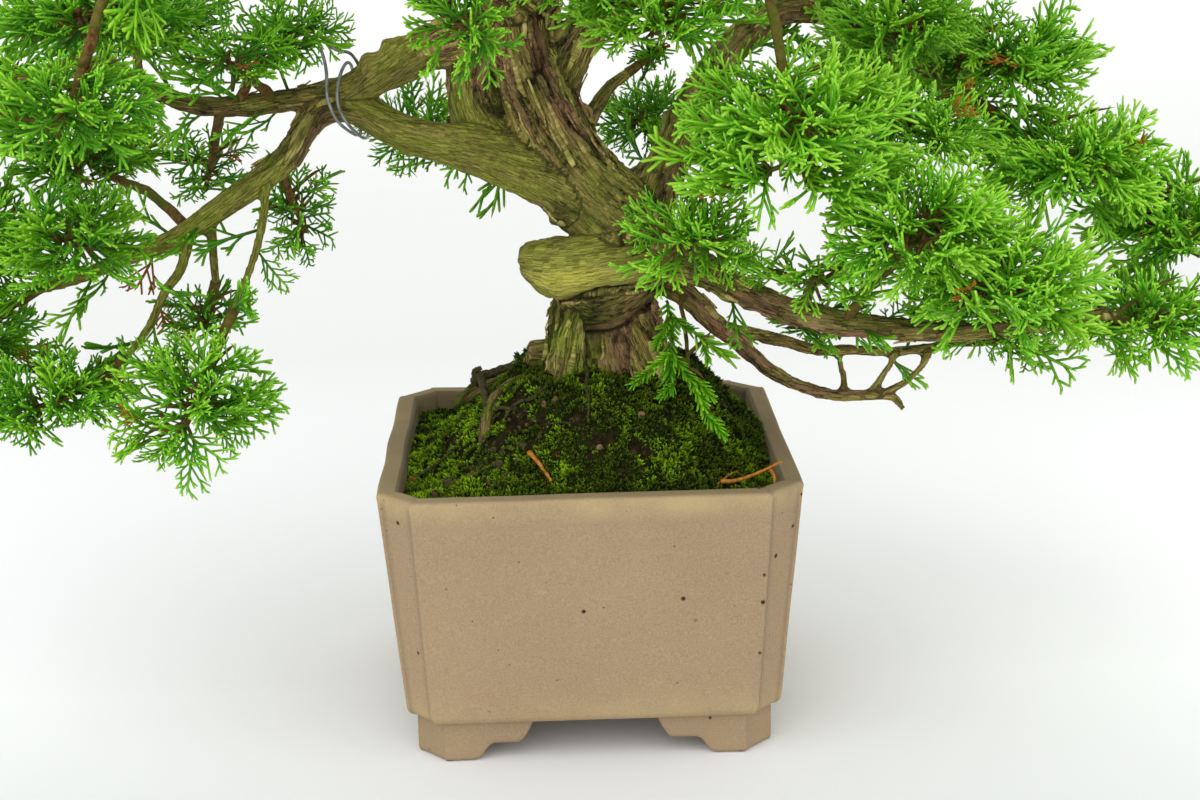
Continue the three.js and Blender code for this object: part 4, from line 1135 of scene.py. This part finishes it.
def nearest_rows(points, lines):
    """The nearest row of the middle lines for each point, and its gap to the skins of three branches."""
    numbers = {name: list(WOOD).index(name) for name in ("trunk", "knob", "bare")}
    groups = {name: np.flatnonzero(lines[:, BRANCH] == number) for name, number in numbers.items()}
    nearest = np.empty(len(points), int)
    clear = {name: np.empty(len(points)) for name in groups}
    for start in range(0, len(points), 4000):
        part = slice(start, start + 4000)
        gap = np.linalg.norm(points[part, None] - lines[None, :, PLACE], axis=2) - lines[None, :, RADIUS]
        nearest[part] = np.argmin(gap, axis=1)
        for name, columns in groups.items():
            clear[name][part] = gap[:, columns].min(axis=1)
    return lines[nearest], clear


def wood_skin():
    """The wood's smooth skin: points, quads, what each point belongs to, and its grain."""
    tubes, lines = wood_tubes()
    points, quads = remeshed(*merged(tubes), SKIN_VOXEL)
    points = relaxed(points, quads, 2)
    own, clear = nearest_rows(points, lines)
    out = points - own[:, PLACE]
    angle = np.arctan2((out * own[:, BINORMAL]).sum(1), (out * own[:, NORMAL]).sum(1)) + 0.012 * own[:, RUN]
    around = own[:, RADIUS] / 3.2
    along = own[:, RUN] / 26 + own[:, BRANCH] * 7.3
    grain = np.column_stack([np.cos(angle) * around, np.sin(angle) * around, along])
    x, y, z = points.T
    trunk = own[:, BRANCH] == list(WOOD).index("trunk")
    front = trunk & (y < 4) & (z < FRONT_TOP) & (clear["knob"] > 1)
    sag = FOLD_Z + np.where(x > FOLD_X, 0.0174, 0.055) * (x - FOLD_X) ** 2
    folded = front & (z > sag) & (x > -9)
    fold = np.column_stack([(z - sag) / 3.2 + 50, 0 * x, x / 26 + 77])
    grain = np.where(folded[:, None], fold, grain)
    return SimpleNamespace(
        points=points, quads=quads, lines=lines, own=own, clear=clear, grain=grain, trunk=trunk, front=front,
        sag=sag, folded=folded, normal=normals_of(points, quads), size=np.clip(own[:, RADIUS] / 14, 0.12, 1),
    )


def bare_wood(skin):
    """Sets where the bark is gone: on the stub, the bare branch and the trunk's neck."""
    x, y, z = skin.points.T
    clear = skin.clear
    skin.on_knob = clamped(0.5 + (clear["trunk"] - clear["knob"]) / 7) * clamped((26 - x) / 14)
    on_bare = clamped(0.5 + (clear["trunk"] - clear["bare"]) / 12) * clamped((x + 92) / 6)
    neck = clamped(1.8 - abs(z - NECK) / 13) * clamped((15 - x) / 9) * (y < 2)
    bare = np.maximum.reduce([0.85 * skin.on_knob, 0.75 * on_bare, 0.8 * neck])
    bare *= clamped(0.55 + 0.9 * (noise(skin.points / 8, 42) - 0.2))
    skin.ledge = bump(x, z, (-9, 195), (6, 8)) * (y < 6)
    skin.bare = bare * (1 - skin.ledge)
    skin.rough = 1 - 0.75 * skin.bare


def bark_relief(skin):
    """How far each point of the skin moves out: fibres, splits, plates, folds, burls and burrs."""
    points, grain, size, rough, front = skin.points, skin.grain, skin.size, skin.rough, skin.front
    x, y, z = points.T
    gap = skin.clear["knob"] - skin.clear["trunk"]
    skin.under = ridge(gap, 0.8) * (z < FRONT_TOP) * (skin.clear["knob"] < 3)
    skin.broad = noise(points / 17 + 8, 41)
    fibre = noise(grain * 1.5 + 30, 43)
    skin.split = ridge(noise(grain + 60, 44) - 0.5, 0.055)
    relief = size * rough * (2.4 * (fibre - 0.5) - 1.3 * skin.split) + size * 1.4 * (skin.broad - 0.5)
    flaky = noise(points / [3.2, 3.2, 4.4] + 77, 46)
    relief += rough * np.clip(size, 0.2, 0.7) * 1.8 * np.clip(flaky - 0.5, -0.3, 0.5)
    ragged = noise(points / [4.6, 4.6, 6.2] + 17, 47)
    torn = 3.4 * np.clip(ragged - 0.6, 0, 0.4) - 2.4 * np.clip(0.34 - ragged, 0, 0.3)
    relief += rough * np.clip(size, 0.25, 0.8) * torn + 4 * skin.ledge * (ragged - 0.35)
    edge, own_value = plates(grain * [0.62, 0.62, 1.9] + 40, 71)
    relief += size * rough * (1.5 * (own_value - 0.5) - 0.9 * clamped(1 - edge / 0.2)) - 0.9 * skin.under

    skin.hollow = np.maximum(bump(x, z, (-3, 156), (3, 5)), bump(x, z, (6, 144), (2.6, 3.4))) * front
    low = z < FOLD_Z + 1
    seams = [
        ridge(x - 16 - 0.6 * np.sin(z), 0.7) * (z > 139) * low,
        ridge(x + 0.5 + (FOLD_Z - z) * 0.15, 0.8) * low,
        ridge(z - skin.sag, 0.8) * (x > -6),
    ]
    skin.seam = np.maximum.reduce(seams) * front
    relief += 1.2 * front * (x < -1.5) * (z < 160) - 3.0 * skin.hollow - 1.4 * skin.seam
    relief -= 3.4 * skin.on_knob * bump(x, z, (-24, 166), (8, 7)) * (y < 6)
    return relief + hills(points, on_skin(points, BURLS)) + hills(points, burrs(skin.lines))


def bark_looks(skin, points):
    """The values that the bark's material reads: its grain, and shares from 0 to 1."""
    x, _, z = skin.points.T
    own, grain = skin.own, skin.grain
    red = clamped((noise(grain * 0.8 + 90, 45) - 0.5) * 6)
    upper = skin.trunk & (z > RUSSET_FROM) & (z < RUSSET_TO)
    red *= np.where(upper, clamped(0.4 + (x - own[:, 0]) / own[:, RADIUS]), 0.12)
    base = skin.trunk & (z < BASE_TOP)
    red = np.where(base, clamped((x - 12) / 12) * 0.9, red)
    plate = skin.front & (z < skin.sag - 1) & (x > 1)
    red = np.where(plate, 0.85 * clamped((x + 1) / 5), red)

    algae = clamped(0.35 + 0.35 * skin.normal[:, 2] + 0.8 * (skin.broad - 0.5) - 0.25 * (z > 250))
    algae = np.where(z < 160, clamped(algae + 0.25 - 0.04 * (x - 5)), algae)
    algae = clamped(algae + skin.hollow)
    mossy_foot = (z < FOOT_TOP) & (x < -14)
    algae = np.where(mossy_foot, 1.0, algae)

    murk = np.clip(2.6 * (noise(points / 7 + 31, 49) - 0.26), 0, 0.8)
    murk = murk * base * np.clip((18 - x) / 14, 0.3, 1)
    split = skin.split * skin.rough * skin.size**0.5
    # Dark bark where it splits, partly real cracks and partly painted shade; painted shade under the knob,
    # along the seams, in the hollows and on the ledge at the crotch; dark noisy patches at the base, and a
    # darker mossy foot
    cracks_and_shade = np.maximum.reduce([split, skin.under, skin.seam, 0.5 * skin.hollow, murk, 0.55 * skin.ledge])
    cracks_and_shade = np.where(mossy_foot, np.maximum(cracks_and_shade, 0.5), cracks_and_shade)

    # The knob's bare wood is pale, palest in a band across its middle: real pale wood with a painted
    # highlight on its rounded front
    middle = 0.5 + 0.9 * bump(x, z, (-6, 172), (20, 6)) - 0.4 * noise(grain * 0.6 + 12, 48)
    pale = clamped(skin.on_knob * (skin.clear["knob"] < 2) * middle)
    return {
        "calm": 0.8 * plate, "grain": grain, "bare": skin.bare, "red": red, "algae": algae, "cracks_and_shade": cracks_and_shade,
        "pale": pale,
    }


def make_wood():
    """The trunk, the roots and all branches in their bark."""
    skin = wood_skin()
    bare_wood(skin)
    points = skin.points + skin.normal * bark_relief(skin)[:, None]
    looks = bark_looks(skin, points)
    wood = mesh_object("juniper_wood", points, skin.quads, (), [BARK], **looks)
    normal = normals_of(points, skin.quads)
    tangent = np.cross(skin.own[:, NORMAL], skin.own[:, BINORMAL])
    tangent = np.where(skin.folded[:, None], unit(np.cross(normal, [0, 0, 1.0])), tangent)
    chance = clamped(skin.size - 0.15) * (skin.bare < 0.2) * (skin.points[:, 2] > 134)
    reach = np.where(skin.folded | (skin.own[:, RADIUS] < 8), 8, 20)
    make_flakes(points, normal, tangent, chance, reach, looks)
    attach(wood, "root")
    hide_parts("wood")


# The sprays
def seeded(seed):
    """The same numbers from 0 to 1 as the solids' source draws."""
    state = seed & 0xFFFFFFFF

    def draw():
        nonlocal state
        state = (state + 0x6D2B79F5) & 0xFFFFFFFF
        mixed = ((state ^ state >> 15) * (1 | state)) & 0xFFFFFFFF
        mixed = ((mixed + (((mixed ^ mixed >> 7) * (61 | mixed)) & 0xFFFFFFFF)) & 0xFFFFFFFF) ^ mixed
        return (mixed ^ mixed >> 14) / 4294967296

    return draw


def in_crown(points, margin=0):
    """Points kept inside the crown's reach."""
    return np.clip(points, CROWN * [-1, -1, 0] - [margin, margin, 0], CROWN + margin)


def stalk_of(entry):
    """The curve of a spray's stalk, from its branch to its twig, and the spray's middle and half sizes."""
    branch, share, middle, size, _ = entry
    root = catmull(WOOD[branch], share)[0]
    centre = np.array(middle, float)
    size = np.array(size, float)
    away = root - centre
    depth = np.linalg.norm(away / size)
    keep = max(0.35, 0.72 * min(1, depth)) / max(depth, 0.4)
    end = centre + away * min(keep, 0.8)
    bend = (root + end) / 2
    bend[2] += 0.1 * np.linalg.norm(root - end)
    return root, bend, end, centre, size


def twig_of(bend, end, centre):
    """The curve of a spray's twig, which goes on from its stalk."""
    onward = unit(end - bend)
    far = centre + (centre - end) * 0.5
    return end, end + onward * 0.4 * np.linalg.norm(far - end), far


def leading_shoots(centre, size, twig, count, draw):
    """The curves of a spray's leading shoots, as the solids have them."""
    shoots = []
    for i in range(count):
        height = 0.96 - 1.6 * (i + 0.5) / count
        level = math.sqrt(1 - height * height)
        angle = i * GOLDEN_ANGLE + 0.5 * draw()
        out = np.array([level * math.cos(angle), level * math.sin(angle), height]) * size
        tip = in_crown(centre + out * (0.98 + 0.16 * draw()))
        root = quadratic(*twig, (i + 0.6) / (count + 0.2))[0]
        bend = (root + tip) / 2
        bend[2] += (0.25 * draw() - 0.05) * np.linalg.norm(tip - root)
        draw()  # the roll that the solids give this shoot
        shoots.append((root, bend, tip))
    return shoots


def spikes(paths, radii, sides=3):
    """Slim tubes along many paths at once. The last point of each path is its tip."""
    paths = np.asarray(paths, float)
    count, rings = len(paths), paths.shape[1] - 1
    along = unit(np.gradient(paths, axis=1))[:, :rings]
    aside = unit(np.cross(paths[:, -1] - paths[:, 0], [0.21, 0.13, 1]))[:, None]
    normal = unit(aside - along * (aside * along).sum(-1, keepdims=True))
    binormal = np.cross(along, normal)
    angle = turns(sides)[:, None]
    ring = np.cos(angle) * normal[:, :, None] + np.sin(angle) * binormal[:, :, None]
    points = paths[:, :rings, None] + ring * np.asarray(radii)[:, :, None, None]
    points = np.concatenate([points.reshape(count, -1, 3), paths[:, -1:]], 1)
    tip = rings * sides
    first = (np.arange(count) * (tip + 1))[:, None, None]
    k = np.arange(sides)
    last = tip - sides
    fan = np.stack([last + k, last + (k + 1) % sides, np.full(sides, tip)], -1)
    quads = first + grid_quads(rings, sides)
    return points.reshape(-1, 3), quads.reshape(-1, 4), (first + fan).reshape(-1, 3)


def fronds_mesh(fingers):
    """The fingers of a shoot as one mesh, and its tone. Fingers of as many rings are made at once."""
    groups, parts, tones = {}, [], []
    for made in fingers:
        groups.setdefault(len(made[1]), []).append(made)
    for group in groups.values():
        parts.append(spikes([path for path, _, _ in group], [radii for _, radii, _ in group]))
        tones += [np.concatenate([np.repeat(tone[:-1], 3), tone[-1:]]) for _, _, tone in group]
    return merged(parts), np.concatenate(tones)


def aimed(slope, turn):
    """A heading that leans off the X axis by slope, to the side that turn gives."""
    return np.array([math.cos(slope), math.sin(slope) * math.cos(turn), math.sin(slope) * math.sin(turn)])


def finger(start, heading, length, lift, rings, tones, thick):
    """A slim shoot that bends up and onward: its path, its radii and its tones."""
    t = np.append(np.linspace(0, 0.9, rings), 1)[:, None] if rings > 1 else np.array([[0.0], [1.0]])
    onward = np.array([1.0, 0, 0]) - heading * heading[0]
    path = start + heading * length * t + onward * length * 0.16 * t * t
    path = path + np.array([0, 0, lift * length]) * t * t
    shape = np.array([0.9, 1.0, 1.0, 0.95, 0.9])[:rings]
    shape[-1] = 0.84
    return path, shape * thick, np.interp(t[:, 0], [0, 1], tones)


def twiglets(bearer, heading, reach, tone, rings, side, rng):
    """The small fingers to both sides of a finger."""
    base, tip = bearer[0][0], bearer[0][-1]
    found = []
    spot = rng.uniform(0.35, 0.5) * reach
    while spot < reach - 2 and rng.random() < 0.85:
        share = spot / reach
        turn = math.radians(rng.uniform(28, 42)) * side
        c, s = math.cos(turn), math.sin(turn)
        lean = heading[2] + rng.uniform(-0.3, 0.35)
        out = unit(np.array([heading[0] * c - heading[1] * s, heading[0] * s + heading[1] * c, lean]))
        length = min(6.0, (reach - spot) * 0.8 + 1.6) * rng.uniform(0.7, 1.15)
        start = base + (tip - base) * share
        found.append(finger(start, out, length, 0.08, rings, (tone + 0.2 * share, 1.0), 0.66))
        side = -side
        spot += rng.uniform(2.4, 3.6)
    return found


def frond(rng, long, far=False):
    """A flat, open shoot along +X with long fingers to both sides. Returns its mesh and its tone."""
    rings = (3, 2, 1) if far else (4, 2, 2)
    fingers = [finger(np.zeros(3), np.array([1.0, 0, 0]), long, 0.05, rings[0], (0.1, 1.0), 0.76)]
    side = 1 if rng.random() < 0.5 else -1
    at = rng.uniform(3.5, 6.5)
    while at < long - 2.5:
        share = at / long
        reach = 5.5 + 9.5 * math.sin(math.pi * min(1, 0.3 + 0.68 * share)) ** 0.8
        reach = min(reach * rng.uniform(0.6, 1.25), (long - at) * 0.95 + 3)
        slope = math.radians(rng.uniform(28, 44))
        heading = aimed(slope, rng.uniform(-0.6, 0.6)) * [1, side, 1]
        start = np.array([at, 0, 0.05 * long * share * share])
        tone = 0.12 + 0.45 * share
        made = finger(start, heading, reach, rng.uniform(-0.04, 0.14), rings[1], (tone, 1.0), 0.7)
        fingers += [made, *twiglets(made, heading, reach, tone, rings[2], side, rng)]
        side = -side
        at += rng.uniform(2.5, 3.9)
    return fronds_mesh(fingers)


def needled(rng, long):
    """A young shoot along +X, with awl needles in threes all round."""
    t = np.linspace(0, 1, 6)[:, None]
    main = np.array([long, 0, 0]) * t + np.array([0, 0, -0.06 * long]) * t * t
    fingers = [(main, np.array([0.8, 0.8, 0.75, 0.7, 0.6]), np.interp(t[:, 0], [0, 1], (0.3, 0.8)))]
    at = 1.0
    while at < long + 0.5:
        for k in range(3):
            turn = k * 2.094 + at * 1.9 + rng.uniform(-0.3, 0.3)
            slope = math.radians(rng.uniform(26, 50)) * (1 - 0.45 * at / long)
            start = np.array([min(at, long), 0, -0.06 * at * at / long])
            length = rng.uniform(5.5, 8.5)
            path = start + aimed(slope, turn) * length * np.array([0, 0.45, 0.88, 1])[:, None]
            fingers.append((path, np.array([0.55, 0.72, 0.5]), np.array([0.4, 0.65, 0.9, 1.0])))
        at += rng.uniform(1.5, 2.3)
    return fronds_mesh(fingers)


# Fronds of several lengths, plainer ones for the back and the top, and young shoots
FRONDS = [frond(np.random.default_rng(500 + i), 25.0 + i % 4 * 3) for i in range(16)]
FAR_FRONDS = [frond(np.random.default_rng(520 + i), 25.0 + i % 4 * 3, True) for i in range(8)]
YOUNG = [needled(np.random.default_rng(540 + i), 16.0) for i in range(4)]


def placed_fronds(bases, headings, ups, lengths, rng, fronds):
    """Copies of the fronds, each turned, sized and bent its own way: their mesh, tones and owners."""
    parts, tones, owners = [], [], []
    pick = rng.integers(0, len(fronds), len(bases))
    side = unit(np.cross(ups, headings))
    up = np.cross(headings, side)
    for number, ((points, quads, triangles), tone) in enumerate(fronds):
        chosen = np.flatnonzero(pick == number)
        if not len(chosen):
            continue
        scale = lengths[chosen] / points[:, 0].max()
        local = points[None] * np.stack([scale, np.sqrt(scale), np.sqrt(scale)], 1)[:, None]
        curl = rng.uniform(-0.006, 0.016, len(chosen))[:, None]
        local[..., 2] += curl * local[..., 0] ** 2
        sway = rng.uniform(-0.008, 0.008, len(chosen))[:, None]
        local[..., 1] += sway * local[..., 0] ** 2
        basis = np.stack([headings[chosen], side[chosen], up[chosen]], 1)
        world = bases[chosen][:, None] + np.einsum("kvi,kij->kvj", local, basis)
        shift = (np.arange(len(chosen)) * len(points))[:, None, None]
        faces = [(part + shift).reshape(-1, part.shape[1]) for part in (quads, triangles)]
        parts.append((world.reshape(-1, 3), *faces))
        tones.append(np.tile(tone, len(chosen)))
        owners.append(np.repeat(chosen, len(points)))
    return merged(parts), np.concatenate(tones), np.concatenate(owners)


# A spray's fronds: how short and long they are, how many are dried, and from how far back and how high
# up they are the plainer ones
SHORTEST, LONGEST = 16, 38
DRIED = 0.03
BACK_FROM, TOP_FROM = 40, 300


def frond_tips(centre, size, count, shoots, rng):
    """Where a spray's fronds end, and how far out each one ends as a share of the half sizes."""
    k = np.arange(count)
    height = 1 - 1.8 * (k + 0.5) / count
    level = np.sqrt(1 - height * height)
    angle = k * GOLDEN_ANGLE + rng.uniform(-0.35, 0.35, count)
    out = np.column_stack([level * np.cos(angle), level * np.sin(angle), height]) * size
    rank = np.where(k % 4 == 0, rng.uniform(0.5, 0.8, count), rng.uniform(0.88, 1.16, count))
    tips = np.vstack([centre + out * rank[:, None], [tip for _, _, tip in shoots]])
    return in_crown(tips), np.concatenate([rank, np.ones(len(shoots))])


def frond_starts(tips, centre, twig, shoots):
    """The place on a spray's twig or leading shoots that each frond grows from."""
    sources = [quadratic(*twig, (0.15, 0.4, 0.65, 0.9))]
    sources = np.vstack(sources + [quadratic(*shoot, (0.25, 0.45, 0.65)) for shoot in shoots])
    inner = centre + (tips - centre) * 0.3
    gap = np.linalg.norm(inner[:, None] - sources[None], axis=2)
    return sources[np.argmin(gap, axis=1)]


def spray_wood(starts, bases, headings, twig, shoots, slim):
    """A spray's twig and leading shoots, and a link from them to each frond."""
    middle = (starts + bases) / 2 + np.array([0, 0, 0.6])
    paths = np.stack([starts, middle, bases, bases + headings * 3], 1)
    links = spikes(paths, np.tile([0.9, 0.75, 0.7], (len(bases), 1)))
    core = tube(quadratic(*twig, np.linspace(0, 1, 6)), np.linspace(1.7, 0.9, 6) * slim, 6)
    along = [quadratic(*shoot, np.linspace(0, 0.8, 5)) for shoot in shoots]
    leaders = spikes(along, np.tile([1.1, 1.0, 0.85, 0.7], (len(shoots), 1)))
    return merged([links, core, leaders])


def spray_object(name, leaves, wood, **looks):
    """A spray of leaves and wood. looks are the leaves' values, and 0 on the wood."""
    slots = np.repeat([0, 1, 0, 1], [len(leaves[1]), len(wood[1]), len(leaves[2]), len(wood[2])])
    spare = np.zeros(len(wood[0]))
    looks = {key: np.concatenate([value, spare]) for key, value in looks.items()}
    spray = mesh_object("leaves_" + name, *merged([leaves, wood]), [LEAF, TWIG], slots, **looks)
    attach(spray, "root")
    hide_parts("spray_" + name)


def make_spray(index, name, entry):
    """A spray: fronds all over its outside, and some further in. A young one has the shoots of HANGING."""
    rng = np.random.default_rng(900 + index)
    _, bend, end, centre, size = stalk_of(entry)
    twig = twig_of(bend, end, centre)
    shoots = leading_shoots(centre, size, twig, entry[4], seeded(100 + index))
    young = name in HANGING
    volume = float(np.prod(size)) ** (1 / 3)
    fullness = FRONDS_PER_SPRAY * OPEN.get(name, 1)
    count = 1 if young else int(np.clip(fullness * (volume / 30) ** 2, 7, 120))
    tips, rank = frond_tips(centre, size, count, shoots, rng)
    starts = frond_starts(tips, centre, twig, shoots)
    if young:
        starts, tips = np.array(HANGING[name], float).transpose(1, 0, 2)
        rank = np.ones(len(tips))
    count = len(tips)
    reach = np.linalg.norm(tips - starts, axis=1)
    headings = unit(tips - starts + rng.normal(0, 0.02 if young else 0.12, (count, 3)) * reach[:, None])
    lengths = reach if young else np.clip(reach * 0.9, SHORTEST, LONGEST) * rng.uniform(0.8, 1.1, count)
    dried = rng.uniform(0, 1, count) < (0 if young else DRIED)
    lengths = np.where(dried, lengths * 0.5, lengths)
    tips = np.where(dried[:, None], starts + (tips - starts) * 0.8, tips)
    bases = tips - headings * lengths[:, None]
    ups = unit(np.array([0, -0.25, 0.8]) + rng.normal(0, 0.75, (count, 3)))
    ups = unit(ups - headings * (ups * headings).sum(1, keepdims=True))
    far = centre[1] > BACK_FROM or centre[2] > TOP_FROM
    fronds = YOUNG if young else FAR_FRONDS if far else FRONDS
    (points, *faces), tone, owner = placed_fronds(bases, headings, ups, lengths, rng, fronds)
    # Painted light: the sprays on the right are lightened most and the hanging ones a little, as if more
    # light fell on them
    painted_light = 0.19 if name.startswith("right") else 0.07 if "hang" in name else 0.0
    shade = rng.normal(0, 0.07, count)[owner]
    # Painted shade: fronds that end further inside the spray get a darker tone
    tone = clamped(tone * (0.4 + 0.6 * rank[owner]) + painted_light - 0.08 + shade)
    hue = clamped(rng.normal(0.85 if young else 0.5, 0.25, count))[owner]
    wood = spray_wood(starts, bases, headings, twig, shoots, 0.5 if young else 1)
    leaves = in_crown(points, 2), *faces
    spray_object(name, leaves, wood, tone=tone, hue=hue, dead=dried.astype(float)[owner])


def make_branch_shoots():
    """Single shoots that stand straight on the outer branches, between the sprays."""
    rng = np.random.default_rng(61)
    bases, headings, ups = [], [], []
    for name, first, step in BRANCH_SHOOTS:
        waypoints = WOOD[name]
        t, _ = even_shares(waypoints, 1.0)
        path = catmull(waypoints, t)
        tangent, normal, binormal = side_frames(path)
        at = first * len(path)
        while at < len(path) - 1:
            i = int(at)
            turn = rng.uniform(0, 2 * math.pi)
            out = normal[i] * math.cos(turn) + binormal[i] * math.sin(turn)
            heading = unit(out + tangent[i] * rng.uniform(0.3, 1.1) + np.array([0, 0, 0.15]))
            bases.append(path[i] + out * radius_at(waypoints, t[i]) * 0.6)
            headings.append(heading)
            ups.append(unit(np.cross(heading, rng.normal(0, 1, 3))))
            at += step * rng.uniform(0.6, 1.4)
    bases, headings, ups = map(np.array, (bases, headings, ups))
    lengths = rng.uniform(16, 34, len(bases))
    keep = (abs(bases + headings * lengths[:, None]) < CROWN).all(1)
    bases, headings, ups, lengths = bases[keep], headings[keep], ups[keep], lengths[keep]
    made, tone, owner = placed_fronds(bases, headings, ups, lengths, rng, FRONDS)
    count = len(bases)
    tone = clamped(tone + rng.normal(0.0, 0.08, count)[owner])
    hue = clamped(rng.normal(0.5, 0.25, count))[owner]
    dead = (lengths < 18).astype(float)[owner] * (rng.uniform(0, 1, count) < 0.3)[owner]
    shoots = mesh_object("branch_shoots", *made, [LEAF], tone=tone, hue=hue, dead=dead)
    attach(shoots, "root")


def make_stalks():
    """The slightly crooked stalks from the branches to the sprays."""
    parts = []
    for name, entry in SPRAYS.items():
        root, bend, end, _, _ = stalk_of(entry)
        t = np.linspace(0, 1, max(5, int(np.linalg.norm(root - end) / 3)))
        path = quadratic(root, bend, end, t)
        wobble = np.column_stack([noise(path / 7, seed) - 0.5 for seed in (51, 52, 53)])
        path = path + wobble * np.sin(math.pi * t)[:, None] * 2
        slim = 0.45 if name in HANGING else 1
        parts.append(tube(path, np.linspace(2.1, 1.7, len(t)) * slim * (1 + 0.25 * wobble[:, 0]), 8))
    stalks = mesh_object("spray_stalks", *merged(parts), [TWIG])
    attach(stalks, "root")


# The tie wire
WIRE_ROUTE = [
    (-95, -6, 261), (-93, -10, 256), (-92, -13.4, 251), (-92.2, -14.4, 246), (-92, -14.4, 242),
    (-91, -13.6, 238), (-89.5, -12.4, 234), (-86.5, -9.6, 230), (-83, -4, 226.8), (-82, 3, 227.7),
    (-83, 9, 233), (-84.4, 11, 240), (-84.4, 9.6, 247), (-84.6, 4, 252), (-85.6, -4, 253.4),
    (-87, -11.4, 250.6), (-88.2, -14.2, 245.6), (-88.4, -14, 240), (-87, -12.4, 235),
    (-84, -8.8, 229.6), (-80.4, -3.2, 225.4), (-79.2, 3.8, 226.6), (-79, 9.8, 232.4), (-80.4, 11.2, 240),
    (-81, 9, 248), (-84, 2, 256), (-89, -5, 258.6), (-94, -3, 262),
]


def make_wire():
    """One strand, wound twice round the two branches."""
    path = catmull(np.array(WIRE_ROUTE), np.linspace(0, 1, 221))
    made = tube(path, np.full(len(path), WIRE_RADIUS), 8)
    wire = mesh_object("tie_wire_loop", *made, [WIRE])
    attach(wire, "root")
    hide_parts("tie_wire")


# The studio
def make_studio():
    """A pale floor that curves up behind the tree, its tone painted lighter to the right and darker in front
    of the pot and far back, an even sky and two wide, soft lights.
    """
    s = Shader("backdrop", roughness=0.9, Specular_IOR_Level=0.1)
    where = s.place()
    spot = s.add("SeparateXYZ", {"Vector": where}).outputs
    # Painted light: the floor is lighter towards the right
    tone = s.mix(s.ramp(spot["X"], [(0.0, 0.0), (0.2, 1.0)]), rgb(246, 247, 248), rgb(254, 255, 255))
    # Painted shade: the floor darkens far back, evening out the brighter light there
    tone = s.mix(s.ramp(spot["Y"], [(0.05, 0.0), (0.55, 1.0)]), tone, rgb(222, 223, 222))
    # Painted shade: the floor is darker just in front of the pot
    near = s.math("ADD", s.times(spot["Y"], 6.0), 1.0)
    s.finish(s.mix(s.ramp(near, [(0.0, 1.0), (1.0, 0.0)]), tone, rgb(222, 224, 225)))
    bend, radius = 1.2, 0.8
    turn = np.radians(np.linspace(0, 90, 13))
    curve = np.column_stack([bend + radius * np.sin(turn), radius - radius * np.cos(turn)])
    path = [(-3.0, 0.0), (bend, 0.0), *curve, (bend + radius, 4.0)]
    points = np.array([(x, y, z) for x in (-5.0, 5.0) for y, z in path])
    n = len(path)
    k = np.arange(n - 1)
    quads = np.stack([k, k + n, k + n + 1, k + 1], -1)
    floor = mesh_object("floor", points, quads, (), [s.material], scale=1)
    floor.location.z = -0.0002  # so that the feet don't share its plane
    world = bpy.data.worlds.new("world")
    world.use_nodes = True
    world.node_tree.nodes["Background"].inputs["Color"].default_value = (1, 1, 1, 1)
    world.node_tree.nodes["Background"].inputs["Strength"].default_value = 0.93
    bpy.context.scene.world = world
    for name, place, softness, strength in (
        ("key", (-0.8, -1.0, 1.35), 70, 1.15),
        ("fill", (0.9, -1.2, 1.0), 70, 0.45),
    ):
        light = bpy.data.lights.new(name, "SUN")
        light.angle = math.radians(softness)
        light.energy = strength
        lamp = bpy.data.objects.new(name, light)
        lamp.location = place
        lamp.rotation_euler = (-Vector(place)).to_track_quat("-Z", "Y").to_euler()
        bpy.context.scene.collection.objects.link(lamp)
    bpy.context.scene.view_settings.view_transform = "Standard"


# The camera: how it is turned, in degrees, what it aims at and how far off it stands, in metres
AZIMUTH, ELEVATION, ROLL = -1.54, 15.89, -1.16
AIM = (0.0059, 0, 0.1202)
DISTANCE = 0.782


def make_camera():
    azimuth, elevation, roll = map(math.radians, (AZIMUTH, ELEVATION, ROLL))
    level = math.cos(elevation)
    back = Vector((math.sin(azimuth) * level, -math.cos(azimuth) * level, math.sin(elevation)))
    right = (-back).cross(Vector((0, 0, 1))).normalized()
    up = right.cross(-back)
    turned_right = math.cos(roll) * right + math.sin(roll) * up
    turned_up = -math.sin(roll) * right + math.cos(roll) * up
    data = bpy.data.cameras.new("camera")
    data.lens = 60
    data.sensor_width = 36
    camera = bpy.data.objects.new("camera", data)
    turn = Matrix((turned_right, turned_up, back)).transposed()
    camera.matrix_world = Matrix.Translation(Vector(AIM) + back * DISTANCE) @ turn.to_4x4()
    bpy.context.scene.collection.objects.link(camera)
    bpy.context.scene.camera = camera


make_camera()
make_studio()
make_pot()
make_soil()
make_moss()
make_litter()
make_wood()
make_stalks()
make_branch_shoots()
make_wire()
for index, (name, entry) in enumerate(SPRAYS.items()):
    make_spray(index, name, entry)
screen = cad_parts["drain_screen"]
screen.data.materials.clear()
screen.data.materials.append(screen_material())
